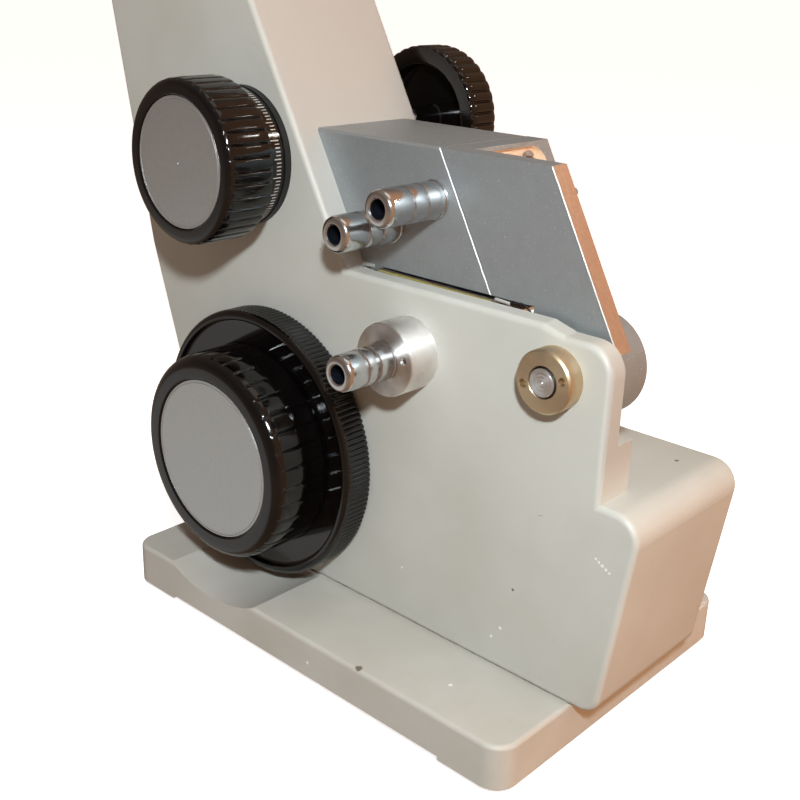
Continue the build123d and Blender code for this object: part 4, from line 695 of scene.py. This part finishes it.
def bead(first, second, radius, y):
    """A half round bar on the side plane y, from the (x, z) point first to second, rounded towards
    -Y: a point of its end is radius * (cos(turn) across, -sin(turn) along Y)."""
    first, second = np.array(first, float), np.array(second, float)
    along = (second - first) / np.linalg.norm(second - first)
    turn = np.linspace(0, np.pi, 9)[:, None]
    wide = radius * np.cos(turn) * np.array([-along[1], along[0]])
    rims = [np.insert(end + wide, 1, y - radius * np.sin(turn[:, 0]), 1) for end in (first, second)]
    near = np.arange(9)
    beyond = np.roll(near, -1)
    sides = np.stack([near, beyond, beyond + 9, near + 9], -1)
    return np.concatenate(rims), sides.tolist() + [near[::-1].tolist(), (near + 9).tolist()]


def plate(corners, out, thick):
    """A flat plate of four (x, y, z) corners, its back there and its face thick further out."""
    corners = np.array(corners, float)
    points = np.concatenate([corners, corners + thick * np.array(out, float)])
    faces = [[3, 2, 1, 0], [4, 5, 6, 7], [0, 1, 5, 4], [1, 2, 6, 5], [2, 3, 7, 6], [3, 0, 4, 7]]
    return points, np.array(faces)


# %% Milled edges
block_side, seam = -16.5, 59.0  # the side plane's y, and the joint's way out from the telescope line
joint_top, joint_foot = place_uv(up_at(140.2, seam), seam), place_uv(up_at(107.95, seam), seam)
piece("milled_lines", [bead(joint_top, joint_foot, 0.17, block_side)], machined, "stand", None)
wall_top, wall_foot = np.array((64.37, 140.3)), np.array((85.65, 101.63))
inset = np.array((0.1, 0.2))
piece("milled_wall_line", [bead(wall_top - inset, wall_foot - inset, 0.16, block_side)],
      machined, "entry", None)
near, far = -16.35, -11.3
corners = [(end[0], y, end[1])
           for end, y in ((wall_top, near), (wall_foot, near), (wall_foot, far), (wall_top, far))]
end_plate = plate(corners, (0.876, 0, 0.482), 0.04)
# The plate's tan is a painted reflection of the warm wall.
piece("milled_wall_end_painted_reflection", [end_plate], milled_end_painted_reflection, "entry", None)

# %% [markdown]
# Between the near cheek and the blocks a keeper lies along the blocks' foot: an olive felt strip
# under a bright wire and a clamp on the lower block, and a clamp and a dark spring on the front
# one, which swing open with it.

# %% Keeper strip
felt_strip = bead((13.0, 106.7), (49.7, 106.3), 0.34, block_side)
wire = bead((13.0, 107.35), (49.4, 106.95), 0.17, block_side)
rear_clamp = bead((5.6, 107.5), (11.2, 107.6), 0.45, block_side)
front_clamp = bead((51.0, 107.3), (55.4, 107.0), 0.45, block_side)
hook = [(56.0, 107.0), (57.2, 107.5), (58.6, 107.75), (60.0, 107.4), (61.3, 106.5), (62.3, 105.3)]
spring = [bead(first, second, 0.28, block_side) for first, second in zip(hook, hook[1:])]
piece("keeper_felt", [felt_strip], felt, "stand", None)
piece("keeper_wire", [wire], chrome, "stand", None)
piece("keeper_rear_clamp", [rear_clamp], machined, "stand", None)
piece("keeper_front_clamp", [front_clamp], machined, "entry", None)
piece("keeper_spring", spring, black_lacquer, "entry", None)

# %% [markdown]
# The pocket in the front plate was milled with an 8 mm cutter and left bare. Its lining is a thin
# shell over the CAD pocket: the outline is a rectangle whose two upper corners are quarter rounds,
# and each row of the grid is that outline, scaled about its middle, at some depth. The lining's
# warm tan is a painted reflection of the warm wall.

# %% Pocket lining
near_side, far_side, corner = -9.98, 14.48, 3.98
low, top = up_at(129.0, 64.8) + 0.02, up_at(139.3, 64.8) - 0.02
quarter = np.radians(np.linspace(0, 90, 9))
cos, sin = corner * np.cos(quarter), corner * np.sin(quarter)
near_round = np.stack([near_side + corner - cos, top - corner + sin], -1)
far_round = np.stack([far_side - corner + sin, top - corner + cos], -1)
rim = np.concatenate([[(near_side, low)], near_round, far_round, [(far_side, low)]])
middle = rim.mean(0)
shell = []
for share, v in ((0.0, 63.36), (0.995, 63.36), (0.995, 64.75), (1.0, 64.75), (1.0, 63.32), (0.0, 63.32)):
    row = middle + share * (rim - middle)
    x, z = place_uv(row[:, 1], v)
    shell.append(np.stack([x, row[:, 0], z], -1))
ring = np.arange(len(rim))
ahead = np.roll(ring, -1)
lower = len(rim) * np.arange(len(shell) - 1)[:, None]
upper = lower + len(rim)
faces = np.stack([lower + ring, lower + ahead, upper + ahead, upper + ring], -1).reshape(-1, 4)
# The lining's tan is a painted reflection of the warm wall.
piece("pocket_lining", [(np.concatenate(shell), faces)], milled_painted_reflection, "entry", None)

# %% [markdown]
# The remaining solids keep their shape from the engineering model and only get their finish.

# %% Dressing the solids
wears = {
    case_paint: ["case_shell", "cover_plate"],
    base_paint: ["base_plate"],
    block_paint: ["refracting_block", "entry_block"],
    phenolic: ["dispersion_knob", "dispersion_scale", "adjusting_knob", "adjusting_flange", "lock_wheel",
               "diopter_ring"],
    black_lacquer: ["telescope_tube", "column_collar", "compensator_housing", "light_shade",
                    "condenser_barrel", "reading_tube", "dispersion_collar", "mirror_holder",
                    "eyepiece_sleeve"],
    rubber_black: ["rubber_feet", "eyecup"],
    cap_metal: ["dispersion_cap", "adjusting_cap"],
    chrome: ["hose_nozzles"],
    steel: ["base_screws", "cover_screws", "column_screws", "hinge_washer", "pivot_pins", "pocket_screws",
            "lock_shaft", "lock_lever", "dispersion_shaft", "adjusting_shaft", "mirror_shaft", "boss_nut"],
    pin_steel: ["hinge_pin"],
    nickel_and_painted_reflection: ["hinge_nut"],
    alloy: ["nozzle_boss", "condenser_seat"],
    brass: ["reflector_frame", "shaft_bushes", "compensator_cell_lower", "compensator_cell_upper",
            "scale_sector"],
    silvering: ["swing_mirror", "reflector_mirror"],
    glass: ["objective_lens", "reticle", "refracting_prism", "entry_prism", "glass_scale",
            "compensator_prism_lower", "compensator_prism_upper", "eyepiece_lenses", "reading_lens",
            "scale_mirror", "condenser_lens"],
}
for material, names in wears.items():
    for name in names:
        slots = nodes[name].data.materials
        slots.clear()
        slots.append(material)
print("dressed", sum(len(names) for names in wears.values()), "of", len(nodes))
